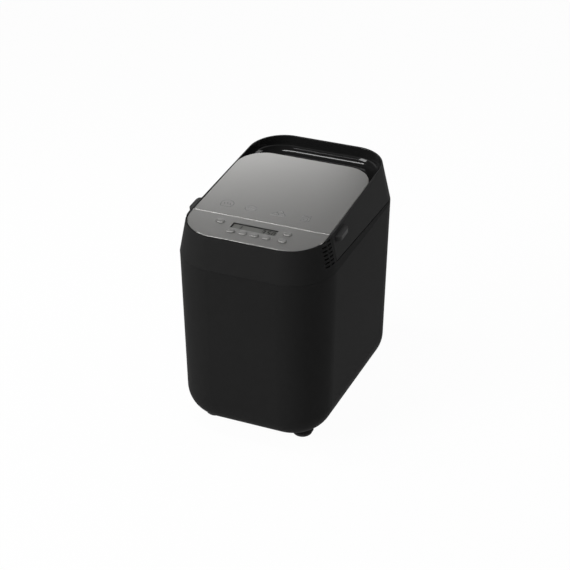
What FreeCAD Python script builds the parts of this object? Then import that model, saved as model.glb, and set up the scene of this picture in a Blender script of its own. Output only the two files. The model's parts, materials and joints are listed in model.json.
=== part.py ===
import FreeCAD, Part
import math
import os
import re

import Sketcher
from FreeCAD import Placement, Rotation, Vector

# Bread machine: a free-standing housing with a hinged lid, a control panel, an oven chamber
# and a belt-driven bread pan. Millimetres, +X right, +Y to the rear, +Z up, z = 0 on the table.

SIZES = {
    # Housing
    "body_width": 250,
    "body_depth": 355,
    "corner_radius": 70,
    "bottom_radius": 50,
    "wall_draft": 1.1,
    "wall": 2.5,
    "foot_height": 8,
    "foot_radius": 15,
    "foot_inset_x": 50,
    "foot_inset_y": 60.5,
    "foot_bevel": 1.5,
    "foot_taper": 1,
    "foot_socket": 1.5,
    "crown_height": 58.6,
    "shoulder_slope": 0.039,
    "crown_lean": 11.8,
    "top_height": 356.6,
    "top_slope": 0.082,
    "parting_gap": 0.3,
    # Lid, panel and trough
    "panel_run": 74.5,
    "seam_rise": 8.5,
    "lid_gap": 1,
    "deck": 2,
    "plate_thickness": 2,
    "plate_round": 0.8,
    "plate_margin": 2.46,
    "plate_corner": 46,
    "panel_margin": 2.4,
    "panel_corner": 55,
    "fit_gap": 0.2,
    "trough_run": 66,
    "trough_depth": 28,
    "trough_wall": 3,
    "trough_corner": 54,
    "trough_round": 16,
    "trough_inner_corner": 70,
    "plate_overhang": 4,
    "grip_length": 36,
    "grip_reach": 9,
    "grip_height": 8,
    "grip_drop": 6,
    "grip_setback": 7,
    # Lid hinge
    "hinge_setback": 6.5,
    "hinge_rise": 13,
    "hinge_spacing": 116,
    "pin_radius": 2.5,
    "knuckle_radius": 5.5,
    "knuckle_length": 22,
    "ear_thickness": 5,
    "ear_gap": 0.4,
    "running_gap": 0.05,
    "rear_relief": 2,
    # Vents
    "vent_pitch": 6,
    "vent_height": 2.6,
    "vent_length": 9.5,
    "vent_column_pitch": 12.5,
    "vent_setback": 4,
    "vent_rise": 10,
    "vent_reach": 18,
    # Display and buttons, on the panel
    "display_width": 73,
    "display_height": 15,
    "display_setback": 22,
    "window_thickness": 1.5,
    "window_lap": 2.5,
    "board_drop": 12,
    "board_width": 150,
    "board_length": 46,
    "board_thickness": 1.6,
    "board_setback": 30,
    "key_length": 14,
    "key_width": 8.5,
    "key_corner": 4,
    "key_proud": 1.5,
    "key_gap": 0.3,
    "key_travel": 0.8,
    "key_flange": 1.2,
    "key_stem": 3,
    "key_pitch": 19,
    "key_row_shift": 2,
    "key_row_setback": 38.5,
    "side_key_setback": 18.5,
    "left_key_x": 56.5,
    "right_key_x": 52,
    "switch_size": 6,
    # Oven chamber and heater
    "chamber_margin": 31,
    "chamber_end": 36.25,
    "chamber_corner": 42,
    "chamber_wall": 1,
    "chamber_floor": 80,
    "chamber_flange": 8,
    "heater_radius": 3.2,
    "heater_inset": 5,
    "heater_rise": 32,
    "heater_corner": 37,
    "heater_leg_x": 14,
    "heater_tail": 10,
    "clip_length": 6,
    "sensor_radius": 4,
    "sensor_reach": 4,
    "sensor_rise": 70,
    "cutout_radius": 8,
    "cutout_rise": 120,
    # Bread pan
    "pan_room_x": 23,
    "pan_room_y": 19,
    "pan_height": 128,
    "pan_corner": 36,
    "pan_round": 4,
    "pan_wall": 1.6,
    "pan_lift": 14,
    "pan_lip": 3,
    "pan_lip_height": 2.5,
    "handle_reach": 70,
    "handle_strap": 2.5,
    "handle_width": 6,
    "handle_corner": 26,
    "handle_gap": 0.4,
    "handle_fold": 79,
    "handle_tail": 6,
    "pivot_radius": 2.5,
    "pivot_drop": 9,
    "ear_plate": 5,
    "ear_width": 16,
    # Pan seat and coupling
    "seat_radius": 52,
    "seat_wall": 4,
    "seat_height": 11,
    "seat_gap": 0.3,
    "lug_depth": 3.4,
    "lug_height": 4,
    "lug_angle": 13,
    "bush_radius": 9,
    "paddle_shaft_radius": 4,
    "wing_length": 26,
    "wing_width": 6,
    "wing_height": 4,
    "bush_drop": 2,
    "bush_height": 10,
    "dog_radius": 2.5,
    "dog_run": 9,
    "dog_height": 5.5,
    "coupler_radius": 16,
    "coupler_height": 4,
    "paddle_reach": 48,
    "paddle_height": 34,
    "paddle_thickness": 5,
    "paddle_hub": 9,
    # Drive
    "drive_shaft_radius": 5,
    "bearing_radius": 10,
    "bearing_drop": 6,
    "bearing_height": 24,
    "chassis_height": 58,
    "chassis_width": 160,
    "chassis_sheet": 2,
    "chassis_edge": 2,
    "leg_radius": 4,
    "leg_inset_x": 11.4,
    "leg_inset_y": 18,
    "stand_x": 62,
    "stand_y": 70,
    "pulley_height": 28,
    "belt_width": 12,
    "belt_thickness": 2.5,
    "belt_gap": 0.25,
    "pulley_flange": 1.5,
    "pulley_lip": 3.5,
    "drive_pulley_radius": 50,
    "motor_pulley_radius": 10,
    "motor_setback": 56.5,
    "motor_radius": 37,
    "motor_height": 62,
    "motor_shaft_radius": 4,
    # Electrics
    "shield_gap": 14,
    "shield_width": 150,
    "shield_height": 200,
    "shield_foot": 10,
    "power_board_width": 120,
    "power_board_height": 95,
    "power_board_rise": 90,
    "standoff": 8,
    "standoff_radius": 3,
    "stand_inset": 6,
    "transformer_x": 28,
    "transformer_rise": 20,
    "transformer_length": 46,
    "transformer_depth": 30,
    "transformer_height": 38,
    "relay_x": 34,
    "relay_rise": 14,
    "relay_length": 18,
    "relay_depth": 18,
    "relay_height": 22,
    "capacitor_x": 26,
    "capacitor_rise": 66,
    "capacitor_radius": 9,
    "capacitor_length": 26,
    "gland_x": 45,
    "gland_height": 78,
    "gland_radius": 7,
    "gland_flange": 10,
    "cord_hole_radius": 3.75,
    "gland_length": 16,
    "gland_inside": 12,
    "gland_collar": 3,
    # Base
    "base_sheet": 2.5,
    "base_lap": 8,
    "screw_radius": 1.75,
    "screw_head": 3.5,
    "screw_length": 9,
    "slot_length": 46,
    "slot_width": 4,
    "slot_pitch": 9,
    "slot_setback": 16,
    # Lid underside
    "liner_gap": 6.5,
    "liner_sheet": 1.2,
    "liner_rise": 10,
    "liner_step": 10,
    "gasket_setback": 2,
    "gasket_width": 6,
    "gasket_height": 2.4,
    "post_radius": 4,
    "post_clear": 0.5,
    "post_front": 97,
    "post_rear": 8,
}

# Places worked out from the sizes, as formulas in their names
PLACES = {
    "tilt": "atan(top_slope) / 1 deg",
    "front_y": "-body_depth / 2",
    "rear_y": "body_depth / 2",
    "shoulder_height": "top_height - crown_height",
    "lid_seam_height": "shoulder_height + seam_rise",
    "vent_base": "shoulder_height + vent_rise",
    "foot_x": "body_width / 2 - foot_inset_x",
    "foot_y": "body_depth / 2 - foot_inset_y",
    "slope_gain": "top_slope - shoulder_slope",
    "draft_inset": "tan(wall_draft * 1 deg) * (shoulder_height - foot_height)",
    "rim_half": "body_width / 2 - crown_height * tan(crown_lean * 1 deg)",
    "plate_half": "rim_half - plate_margin",
    "front_lean": "tan(crown_lean * 1 deg - atan(shoulder_slope))",
    "rear_lean": "tan(crown_lean * 1 deg + atan(shoulder_slope))",
    "rim_front_y": "front_y + (crown_height + slope_gain * front_y) * front_lean",
    "rim_rear_y": "rear_y - (crown_height + slope_gain * rear_y) * rear_lean",
    "lid_front_y": "front_y + panel_run",
    "lid_bottom": "lid_seam_height + lid_gap",
    "seam_v": "(lid_front_y - lid_gap) / cos(tilt * 1 deg)",
    "plate_front_v": "lid_front_y / cos(tilt * 1 deg)",
    "plate_rear_v": "(rim_rear_y - trough_run) / cos(tilt * 1 deg)",
    "panel_front_v": "(rim_front_y + panel_margin) / cos(tilt * 1 deg)",
    "trough_floor": "top_height + top_slope * rim_rear_y - trough_depth",
    "hinge_y": "rear_y - hinge_setback",
    "hinge_z": "lid_seam_height + hinge_rise",
    "oven_y": "(lid_front_y + rear_y) / 2",
    "ear_root": "lid_seam_height - 1",
    "chamber_top": "lid_seam_height - wall",
    "chamber_width": "body_width - 2 * chamber_margin",
    "chamber_length": "rear_y - lid_front_y - 2 * chamber_end",
    "chamber_front_y": "oven_y - chamber_length / 2 - chamber_wall",
    "base_z": "foot_height + wall",
    "base_flat_width": "body_width - 2 * draft_inset - 2 * bottom_radius",
    "base_flat_depth": "body_depth - 2 * draft_inset - 2 * bottom_radius",
    "heater_height": "chamber_floor + heater_rise",
    "sensor_height": "chamber_floor + sensor_rise",
    "cutout_height": "chamber_floor + cutout_rise",
    "pan_width": "chamber_width - 2 * pan_room_x",
    "pan_length": "chamber_length - 2 * pan_room_y",
    "pan_floor": "chamber_floor + pan_lift",
    "pan_top": "pan_floor + pan_height",
    "pivot_z": "pan_top - pivot_drop",
    "arm_y": "pan_length / 2 + ear_plate + handle_gap",
    "seat_z": "chamber_floor + chamber_wall",
    "ring_z": "seat_z + seat_gap",
    "ring_radius": "seat_radius - lug_depth - 2 * seat_gap",
    "plate_rear_y": "rim_rear_y - trough_run",
    "motor_y": "body_depth / 2 - motor_setback",
    "leg_x": "base_flat_width / 2 - leg_inset_x",
    "leg_y": "base_flat_depth / 2 - leg_inset_y",
    "chassis_front": "motor_y + motor_radius + chassis_edge",
    "chassis_rear": "max(oven_y + stand_y; leg_y) + leg_radius + chassis_edge",
    "belt_run": "oven_y + motor_y",
    "belt_z": "pulley_height + pulley_flange + 0.5",
    "motor_z": "chassis_height + chassis_sheet",
    "power_board_z": "motor_z + power_board_rise",
    "shield_y": "chamber_front_y - shield_gap",
    "board_w": "-(plate_thickness + board_drop)",
    "key_flange_w": "-(plate_thickness + deck + 0.1)",
    "lid_room_half": "body_width / 2 - wall - (liner_z - shoulder_height) * tan(crown_lean * 1 deg)",
    "liner_width": "2 * (lid_room_half - liner_gap)",
    "liner_length": "2 * (rear_y - oven_y - hinge_setback - knuckle_radius - liner_gap)",
    "liner_corner": "corner_radius - wall - liner_gap",
    "post_x": "chamber_width / 2 + gasket_setback + gasket_width + screw_head + post_clear",
    "post_front_y": "oven_y - post_front",
    "post_rear_y": "oven_y + post_rear",
    "gasket_z": "lid_seam_height + seat_gap",
    "liner_z": "gasket_z + gasket_height",
    "coupler_z": "seat_z + seat_gap",
    "wing_z": "coupler_z + coupler_height + seat_gap",
    "bush_z": "pan_floor - bush_drop",
}

FAR = 400
VENT_COLUMNS = 2
LUGS = 3
HINGES = {"left": -1, "right": 1}
KEY_ROW = ("size_button", "crust_button", "timer_down_button", "timer_up_button")
WORD = re.compile(r"[a-z][a-z0-9_]*")

doc = FreeCAD.newDocument("bread_machine")
nodes = {}


def formula(text):
    """A formula in size and place names, as an expression on the sheet and the places."""
    def owner(match):
        word = match[0]
        if word in SIZES:
            return f"Sizes.{word}"
        return f"Places.{word}" if word in PLACES else word
    return WORD.sub(owner, str(text))


def bind(item, formulas):
    for prop, text in formulas.items():
        item.setExpression(prop, formula(text))
    return item


def make_sheet():
    sheet = doc.addObject("Spreadsheet::Sheet", "Sizes")
    for row, (name, value) in enumerate(SIZES.items(), start=1):
        sheet.set(f"A{row}", name)
        sheet.set(f"B{row}", str(value))
        sheet.setAlias(f"B{row}", name)
    places = doc.addObject("App::VarSet", "Places")
    for name in PLACES:
        places.addProperty("App::PropertyFloat", name)
    bind(places, PLACES)
    reading = doc.addObject("App::VarSet", "Reading")
    reading.addProperty("App::PropertyFloat", "value")
    doc.recompute()
    return reading


reading = make_sheet()


def number(text):
    """The value that a formula has now."""
    bind(reading, {"value": text})
    reading.recompute()
    return reading.value


def at(item, x="0", y="0", z="0"):
    return bind(item, {"Placement.Base.x": x, "Placement.Base.y": y, "Placement.Base.z": z})


def turn(item, axis, angle):
    item.Placement = Placement(item.Placement.Base, Rotation(Vector(*axis), 1))
    return bind(item, {"Placement.Rotation.Angle": angle})


def on_top(item, x="0", v="0", w="0"):
    """Lays an item in the sloping top plane: v runs up the slope, w stands off the plane."""
    turn(item, (1, 0, 0), "tilt")
    return at(
        item,
        x,
        f"({v}) * cos(tilt * 1 deg) - ({w}) * sin(tilt * 1 deg)",
        f"top_height + ({v}) * sin(tilt * 1 deg) + ({w}) * cos(tilt * 1 deg)",
    )


def box(name, length, width, height):
    return bind(doc.addObject("Part::Box", name), {"Length": length, "Width": width, "Height": height})


def block(name, x, y, z, length, width, height):
    """A box centred on x and y, standing on z."""
    return at(box(name, length, width, height), f"{x} - ({length}) / 2", f"{y} - ({width}) / 2", z)


def cylinder(name, radius, height, x="0", y="0", z="0"):
    item = bind(doc.addObject("Part::Cylinder", name), {"Radius": radius, "Height": height})
    return at(item, x, y, z)


def rod_x(name, radius, length, x, y, z):
    """A cylinder along X, centred on x."""
    item = bind(doc.addObject("Part::Cylinder", name), {"Radius": radius, "Height": length})
    item.Placement = Placement(Vector(), Rotation(Vector(0, 1, 0), 90))
    return at(item, f"{x} - ({length}) / 2", y, z)


def rod_y(name, radius, length, x, y, z):
    """A cylinder that starts at y and runs along +Y."""
    item = bind(doc.addObject("Part::Cylinder", name), {"Radius": radius, "Height": length})
    item.Placement = Placement(Vector(), Rotation(Vector(1, 0, 0), -90))
    return at(item, x, y, z)


def fuse(name, *parts):
    item = doc.addObject("Part::MultiFuse", name)
    item.Shapes = list(parts)
    item.Refine = True
    return item


def cut(name, base, *tools):
    item = doc.addObject("Part::Cut", name)
    item.Base = base
    item.Tool = tools[0] if len(tools) == 1 else fuse(f"{name}_tools", *tools)
    return item


def common(name, first, second):
    item = doc.addObject("Part::Common", name)
    item.Base = first
    item.Tool = second
    return item


def group(name, *parts):
    item = doc.addObject("Part::Compound", name)
    item.Links = list(parts)
    return item


def node(name, item):
    """Marks a finished sub-part, whose label names its file."""
    item.Label = name
    nodes[name] = item
    return item


def rounded_rectangle(sketch, width, depth, radius):
    """Constrains a rectangle with round corners, centred on the sketch."""
    half_x, half_y, r = number(f"({width}) / 2"), number(f"({depth}) / 2"), number(radius)
    cx, cy, up = half_x - r, half_y - r, Vector(0, 0, 1)
    for x, y, start in ((cx, -cy, -90), (cx, cy, 0), (-cx, cy, 90), (-cx, -cy, 180)):
        circle = Part.Circle(Vector(x, y, 0), up, r)
        sketch.addGeometry(Part.ArcOfCircle(circle, math.radians(start), math.radians(start + 90)))
    sides = (
        ((half_x, -cy), (half_x, cy)),
        ((cx, half_y), (-cx, half_y)),
        ((-half_x, cy), (-half_x, -cy)),
        ((-cx, -half_y), (cx, -half_y)),
    )
    for start, end in sides:
        sketch.addGeometry(Part.LineSegment(Vector(*start, 0), Vector(*end, 0)))
    rule = Sketcher.Constraint
    for arc in range(4):
        side = 4 + arc
        sketch.addConstraint(rule("Tangent", arc, 2, side, 1))
        sketch.addConstraint(rule("Tangent", side, 2, (arc + 1) % 4, 1))
        sketch.addConstraint(rule("Horizontal" if arc % 2 else "Vertical", side))
    for arc in (1, 2, 3):
        sketch.addConstraint(rule("Equal", 0, arc))
    sketch.addConstraint(rule("Symmetric", 0, 3, 2, 3, -1, 1))
    driven = {
        "width": (rule("DistanceX", 6, 1, 4, 1, 2 * half_x), width),
        "depth": (rule("DistanceY", 7, 1, 5, 1, 2 * half_y), depth),
        "radius": (rule("Radius", 0, r), radius),
    }
    for name, (constraint, size) in driven.items():
        sketch.renameConstraint(sketch.addConstraint(constraint), name)
        bind(sketch, {f"Constraints.{name}": size})
    return sketch


def circles(sketch, spots):
    """Adds circles with driven radii at driven spots (x, y, radius)."""
    for index, (x, y, radius) in enumerate(spots):
        place = Vector(number(x), number(y), 0)
        circle = sketch.addGeometry(Part.Circle(place, Vector(0, 0, 1), number(radius)))
        sketch.renameConstraint(
            sketch.addConstraint(Sketcher.Constraint("Radius", circle, number(radius))), f"radius{index}"
        )
        bind(sketch, {f"Constraints.radius{index}": radius})
        for axis, name, value in (("DistanceX", "across", x), ("DistanceY", "along", y)):
            rule = Sketcher.Constraint(axis, -1, 1, circle, 3, number(value))
            sketch.renameConstraint(sketch.addConstraint(rule), f"{name}{index}")
            bind(sketch, {f"Constraints.{name}{index}": value})
    return sketch


def profile(sketch, points):
    """Constrains a closed outline of straight lines through driven points."""
    spots = [Vector(number(x), number(y), 0) for x, y in points]
    for start, end in zip(spots, spots[1:] + spots[:1]):
        sketch.addGeometry(Part.LineSegment(start, end))
    for line in range(len(spots)):
        before = (line - 1) % len(spots)
        sketch.addConstraint(Sketcher.Constraint("Coincident", before, 2, line, 1))
    for line, (x, y) in enumerate(points):
        for axis, name, value in (("DistanceX", "across", x), ("DistanceY", "along", y)):
            rule = Sketcher.Constraint(axis, -1, 1, line, 1, number(value))
            sketch.renameConstraint(sketch.addConstraint(rule), f"{name}{line}")
            bind(sketch, {f"Constraints.{name}{line}": value})
    return sketch


def body(name):
    return doc.addObject("PartDesign::Body", name)


def sketch_on(owner, name, role="XY_Plane", x="0", y="0", lift="0"):
    sketch = owner.newObject("Sketcher::SketchObject", f"{owner.Name}_{name}")
    plane = next(item for item in owner.Origin.OriginFeatures if item.Role == role)
    sketch.AttachmentSupport = (plane, [""])
    sketch.MapMode = "FlatFace"
    offset = "AttachmentOffset.Base"
    return bind(sketch, {f"{offset}.x": x, f"{offset}.y": y, f"{offset}.z": lift})


def pad(owner, sketch, length):
    item = owner.newObject("PartDesign::Pad", f"{sketch.Name}_pad")
    item.Profile = sketch
    return bind(item, {"Length": length})


def pocket(owner, sketch, length, upwards=False):
    item = owner.newObject("PartDesign::Pocket", f"{sketch.Name}_pocket")
    item.Profile = sketch
    item.Reversed = upwards
    return bind(item, {"Length": length})


def revolve(owner, sketch):
    item = owner.newObject("PartDesign::Revolution", f"{sketch.Name}_turned")
    item.Profile = sketch
    item.ReferenceAxis = (sketch, ["V_Axis"])
    item.Angle = 360
    return item


def fillet(owner, feature, radius, chosen):
    """Rounds the edges of a feature that a test picks."""
    doc.recompute()
    edges = [f"Edge{i}" for i, edge in enumerate(feature.Shape.Edges, start=1) if chosen(edge)]
    item = owner.newObject("PartDesign::Fillet", f"{feature.Name}_round")
    item.Base = (feature, edges)
    return bind(item, {"Radius": radius})


def chamfer(owner, feature, size, chosen):
    """Bevels the edges of a feature that a test picks."""
    doc.recompute()
    edges = [f"Edge{i}" for i, edge in enumerate(feature.Shape.Edges, start=1) if chosen(edge)]
    item = owner.newObject("PartDesign::Chamfer", f"{feature.Name}_bevel")
    item.Base = (feature, edges)
    return bind(item, {"Size": size})


def draft(owner, feature, angle, outward):
    """Leans every side face of a prism about its lower face."""
    doc.recompute()
    sides, lower = [], None
    for i, face in enumerate(feature.Shape.Faces, start=1):
        rise = face.normalAt(0, 0).z
        if abs(rise) < 0.5:
            sides.append(f"Face{i}")
        elif rise < 0:
            lower = f"Face{i}"
    item = owner.newObject("PartDesign::Draft", f"{feature.Name}_lean")
    item.Base = (feature, sides)
    item.NeutralPlane = (feature, [lower])
    item.Reversed = outward
    return bind(item, {"Angle": angle})


def upright(edge):
    """True for a straight edge along the local Z."""
    span = edge.BoundBox
    return span.ZLength > 0.1 and math.hypot(span.XLength, span.YLength) < 1e-4


def prism(name, width, depth, radius, height):
    """A rounded block on its own XY plane."""
    owner = body(name)
    sketch = rounded_rectangle(sketch_on(owner, "outline"), width, depth, radius)
    pad(owner, sketch, height)
    return owner


def tongue(name, half_width, front, rear, radius, low, height, rear_round):
    """A slab in the top plane's own frame, with its two front or two rear corners rounded."""
    owner = body(name)
    centre = f"(({front}) + ({rear})) / 2"
    sketch = sketch_on(owner, "outline", y=centre, lift=low)
    half, depth = f"({half_width})", f"(({rear}) - ({front})) / 2"
    profile(sketch, ((f"-{half}", f"-{depth}"), (half, f"-{depth}"), (half, depth), (f"-{half}", depth)))
    slab = pad(owner, sketch, height)
    middle = number(centre)
    fillet(owner, slab, radius, lambda edge: upright(edge) and (edge.CenterOfMass.y > middle) == rear_round)
    return owner


def eased(owner, radius):
    """Rounds the upper edges of a slab whose top lies at its own zero."""
    fillet(owner, owner.Tip, radius, lambda edge: edge.BoundBox.ZMin > -0.01)
    return owner


# Housing forms

def lower_form(name, inset):
    """The drafted lower housing, standing on its rounded base, set in by a wall."""
    owner = body(name)
    shrink = f"2 * (draft_inset + {inset})"
    sketch = sketch_on(owner, "base", lift=f"foot_height + {inset}")
    rounded_rectangle(
        sketch, f"body_width - {shrink}", f"body_depth - {shrink}", f"corner_radius - draft_inset - {inset}"
    )
    prism_pad = pad(owner, sketch, "shoulder_height + shoulder_slope * body_depth")
    leaning = draft(owner, prism_pad, "wall_draft", True)
    base = number(f"foot_height + {inset}")
    fillet(owner, leaning, f"bottom_radius - {inset}", lambda edge: edge.BoundBox.ZMax < base + 0.01)
    return owner


def crown_form(name, inset):
    """The upper housing, leaning in from the sloping shoulder."""
    owner = body(name)
    sketch = sketch_on(owner, "shoulder")
    rounded_rectangle(
        sketch,
        f"body_width - 2 * ({inset})",
        f"body_depth / cos(atan(shoulder_slope)) - 2 * ({inset})",
        f"corner_radius - ({inset})",
    )
    draft(owner, pad(owner, sketch, "crown_height + top_slope * body_depth"), "crown_lean", False)
    turn(owner, (1, 0, 0), "atan(shoulder_slope)")
    return at(owner, z="shoulder_height")


def above_top(name, w):
    """All the space over the top plane, or over a plane w off it."""
    return on_top(box(name, 2 * FAR, 2 * FAR, FAR), -FAR, -FAR, w)


def above_shoulder(name):
    item = box(name, 2 * FAR, 2 * FAR, FAR)
    turn(item, (1, 0, 0), "atan(shoulder_slope)")
    return at(item, -FAR, -FAR, f"shoulder_height - parting_gap - {FAR} * shoulder_slope")


def behind(name, y, z):
    """All the space behind y and above z."""
    return at(box(name, 2 * FAR, 2 * FAR, FAR), -FAR, y, z)


crown = cut("crown", crown_form("crown_solid", "0"), above_top("sky", "0"))
crown_room = cut(
    "crown_room", crown_form("crown_hollow", "wall"), above_top("under_deck", "-(plate_thickness + deck)")
)


def foot_spots():
    """The four feet: name, x and y formulas."""
    for side_y, along in (("front", "-foot_y"), ("rear", "foot_y")):
        for side_x, across in (("left", "-foot_x"), ("right", "foot_x")):
            yield f"{side_y}_{side_x}", across, along


def base_screw_spots():
    for i in (-1, 1):
        for k in (-1, 0, 1):
            yield f"{i} * (base_flat_width / 2 - base_lap / 2)", f"{k} * (base_flat_depth / 2 - 4 * base_lap)"


def gland_wall_y():
    """Outer face of the rear wall at the height of the cord gland."""
    return "(rear_y - draft_inset + tan(wall_draft * 1 deg) * (gland_height - foot_height))"


def make_body_shell():
    seats = [
        cylinder(
            f"foot_seat_{name}", "foot_radius + wall", "bottom_radius", x, y, "foot_height - foot_socket"
        )
        for name, x, y in foot_spots()
    ]
    solid = fuse("shell_solid", lower_form("shell_form", "0"), *seats)
    opening = prism(
        "base_opening",
        "base_flat_width - 2 * base_lap",
        "base_flat_depth - 2 * base_lap",
        "corner_radius / 3",
        "bottom_radius / 2",
    )
    screw_holes = [
        cylinder(f"shell_screw_hole_{i}", "screw_radius", "bottom_radius / 2", x, y, "0")
        for i, (x, y) in enumerate(base_screw_spots())
    ]
    start = f"{gland_wall_y()} - gland_length"
    gland_hole = rod_y("gland_hole", "gland_radius", "2 * gland_length", "gland_x", start, "gland_height")
    shell = cut(
        "shell",
        solid,
        lower_form("shell_hollow", "wall"),
        at(opening),
        gland_hole,
        above_shoulder("shell_top"),
        *screw_holes,
    )
    node("body_shell", shell)


def make_feet():
    for name, x, y in foot_spots():
        foot = body(f"foot_{name}_body")
        points = (
            ("0", "0"),
            ("foot_radius - foot_bevel", "0"),
            ("foot_radius", "foot_bevel"),
            ("foot_radius - foot_taper", "foot_height - foot_socket"),
            ("0", "foot_height - foot_socket"),
        )
        revolve(foot, profile(sketch_on(foot, "half", "XZ_Plane"), points))
        node(f"foot_{name}", at(foot, x, y))


def make_base_plate():
    plate = body("base_plate_body")
    sketch = sketch_on(plate, "outline", lift="base_z")
    rounded_rectangle(sketch, "base_flat_width - 2", "base_flat_depth - 2", "corner_radius / 3 + base_lap")
    pad(plate, sketch, "base_sheet")
    holes = sketch_on(plate, "holes", lift="base_z")
    circles(holes, [(x, y, "screw_radius") for x, y in base_screw_spots()])
    pocket(plate, holes, "base_sheet", upwards=True)
    slot = sketch_on(plate, "slot", y="slot_setback - base_flat_depth / 2", lift="base_z")
    rounded_rectangle(slot, "slot_length", "slot_width", "slot_width / 2 - 0.1")
    first = pocket(plate, slot, "base_sheet", upwards=True)
    row = plate.newObject("PartDesign::LinearPattern", "base_slots")
    row.Originals = [first]
    row.Direction = (slot, ["V_Axis"])
    row.Occurrences = 4
    bind(row, {"Length": "3 * slot_pitch"})
    plate.Tip = row
    node("base_plate", plate)


def screw(name, x, y, seat):
    """A pan-head screw that points up, with its head under the seat height."""
    item = body(name)
    points = (
        ("0", "-2"),
        ("screw_head", "-2"),
        ("screw_head", "0"),
        ("screw_radius", "0"),
        ("screw_radius", "screw_length"),
        ("0", "screw_length"),
    )
    revolve(item, profile(sketch_on(item, "half", "XZ_Plane"), points))
    return at(item, x, y, seat)


def make_base_screws():
    screws = [screw(f"base_screw_{i}", x, y, "foot_height") for i, (x, y) in enumerate(base_screw_spots())]
    node("base_screws", group("base_screw_set", *screws))


# Upper frame and control panel

def panel_slab(name, gap, low, height):
    rear = "seam_v" if gap == "0" else "seam_v + 3"
    front = f"panel_front_v - {gap}"
    return tongue(name, f"plate_half + {gap}", front, rear, f"panel_corner + {gap}", low, height, False)


def key_spots():
    """The seven buttons: name, x and v formulas in the top plane."""
    upper, lower = "seam_v - side_key_setback", "seam_v - key_row_setback"
    yield "menu_button", "-left_key_x", upper
    for i, name in enumerate(KEY_ROW):
        yield name, f"{i - 1.5} * key_pitch - key_row_shift", lower
    yield "start_button", "right_key_x", upper
    yield "stop_button", "right_key_x", lower


def key_wells(name):
    wells = []
    size = ("key_length + 2 * key_gap", "key_width + 2 * key_gap", "key_corner + key_gap")
    for key, x, v in key_spots():
        well = prism(f"{name}_{key}", *size, "2 * board_drop")
        wells.append(on_top(well, x, v, "-board_drop"))
    return wells


def top_block(name, x, v, w, length, width, height):
    """A box in the top plane's frame, centred on x and v, standing on w."""
    return on_top(box(name, length, width, height), f"{x} - ({length}) / 2", f"{v} - ({width}) / 2", w)


def board_post_spots():
    for i in (-1, 1):
        for k in (-1, 1):
            yield (
                f"{i} * (board_width / 2 - 2 * standoff_radius)",
                f"seam_v - board_setback + {k} * (board_length / 2 - 2 * standoff_radius)",
            )


def hinge_ears():
    ears = []
    for side, sign in HINGES.items():
        for k in (-1, 1):
            x = f"{sign} * hinge_spacing / 2 + {k} * (knuckle_length / 2 + ear_gap + ear_thickness / 2)"
            name = f"ear_{side}_{'inner' if k * sign < 0 else 'outer'}"
            size = ("ear_thickness", "2 * knuckle_radius", "hinge_z - ear_root")
            stem = block(f"{name}_stem", x, "hinge_y", "ear_root", *size)
            ears += [stem, rod_x(f"{name}_eye", "knuckle_radius", "ear_thickness", x, "hinge_y", "hinge_z")]
    return ears


def hinge_bores(name, radius):
    length = "knuckle_length + 2 * ear_gap + 2 * ear_thickness + 1"
    return [
        rod_x(f"{name}_{side}", radius, length, f"{sign} * hinge_spacing / 2", "hinge_y", "hinge_z")
        for side, sign in HINGES.items()
    ]


def vent_slots():
    """Rows of slots in both side walls, as many as fit under the rim."""
    rim = "top_height + top_slope * lid_front_y"
    rows = 1 + math.floor(number(f"({rim} - vent_base - vent_height) / vent_pitch"))
    slots = []
    for side in (-1, 1):
        for column in range(VENT_COLUMNS):
            for row in range(rows):
                slot = block(
                    f"vent_{'left' if side < 0 else 'right'}_{column}_{row}",
                    f"{side} * body_width / 2",
                    f"lid_front_y - lid_gap - wall - vent_setback - vent_length / 2"
                    f" - {column} * vent_column_pitch",
                    f"vent_base + {row} * vent_pitch",
                    "2 * vent_reach",
                    "vent_length",
                    "vent_height",
                )
                slots.append(slot)
    return slots


def make_top_frame():
    front = cut("frame_solid", crown, behind("lid_space", "lid_front_y - lid_gap", "lid_seam_height"))
    grown = behind("lid_space_grown", "lid_front_y - lid_gap - wall", "lid_seam_height - wall")
    room = cut("frame_room", crown_room, grown)
    posts = []
    for i, (x, v) in enumerate(board_post_spots()):
        post = cylinder(f"board_post_{i}", "standoff_radius", "board_drop - deck + 0.5")
        posts.append(on_top(post, x, v, "board_w"))
    mouth = prism("mouth", "chamber_width", "chamber_length", "chamber_corner", FAR / 2)
    window = top_block(
        "window_seat",
        "0",
        "seam_v - display_setback",
        "-board_drop",
        "display_width + 2 * window_lap + 2 * fit_gap",
        "display_height + 2 * window_lap + 2 * fit_gap",
        "2 * board_drop",
    )
    hollowed = cut("frame_hollowed", front, room)
    grown = fuse("frame_grown", hollowed, *posts, *hinge_ears())
    frame = cut(
        "frame",
        grown,
        at(mouth, "0", "oven_y", f"chamber_top - {FAR / 4}"),
        on_top(panel_slab("panel_seat", "fit_gap", "-plate_thickness", "board_drop")),
        window,
        *key_wells("frame_well"),
        *hinge_bores("frame_bore", "pin_radius"),
        *vent_slots(),
    )
    node("top_frame", frame)


def make_control_panel():
    opening = top_block(
        "display_opening",
        "0",
        "seam_v - display_setback",
        "-board_drop",
        "display_width",
        "display_height",
        "2 * board_drop",
    )
    slab = eased(panel_slab("panel_slab", "0", "-plate_thickness", "plate_thickness"), "plate_round")
    node("control_panel", cut("panel", on_top(slab), opening, *key_wells("panel_well")))


def make_display():
    v = "seam_v - display_setback"
    width, depth = "display_width + 2 * window_lap", "display_height + 2 * window_lap"
    low = "-(plate_thickness + window_thickness)"
    node("display_window", top_block("window", "0", v, low, width, depth, "window_thickness"))
    height = "board_drop - window_thickness"
    node("display_module", top_block("module", "0", v, "board_w", width, depth, height))


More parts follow.
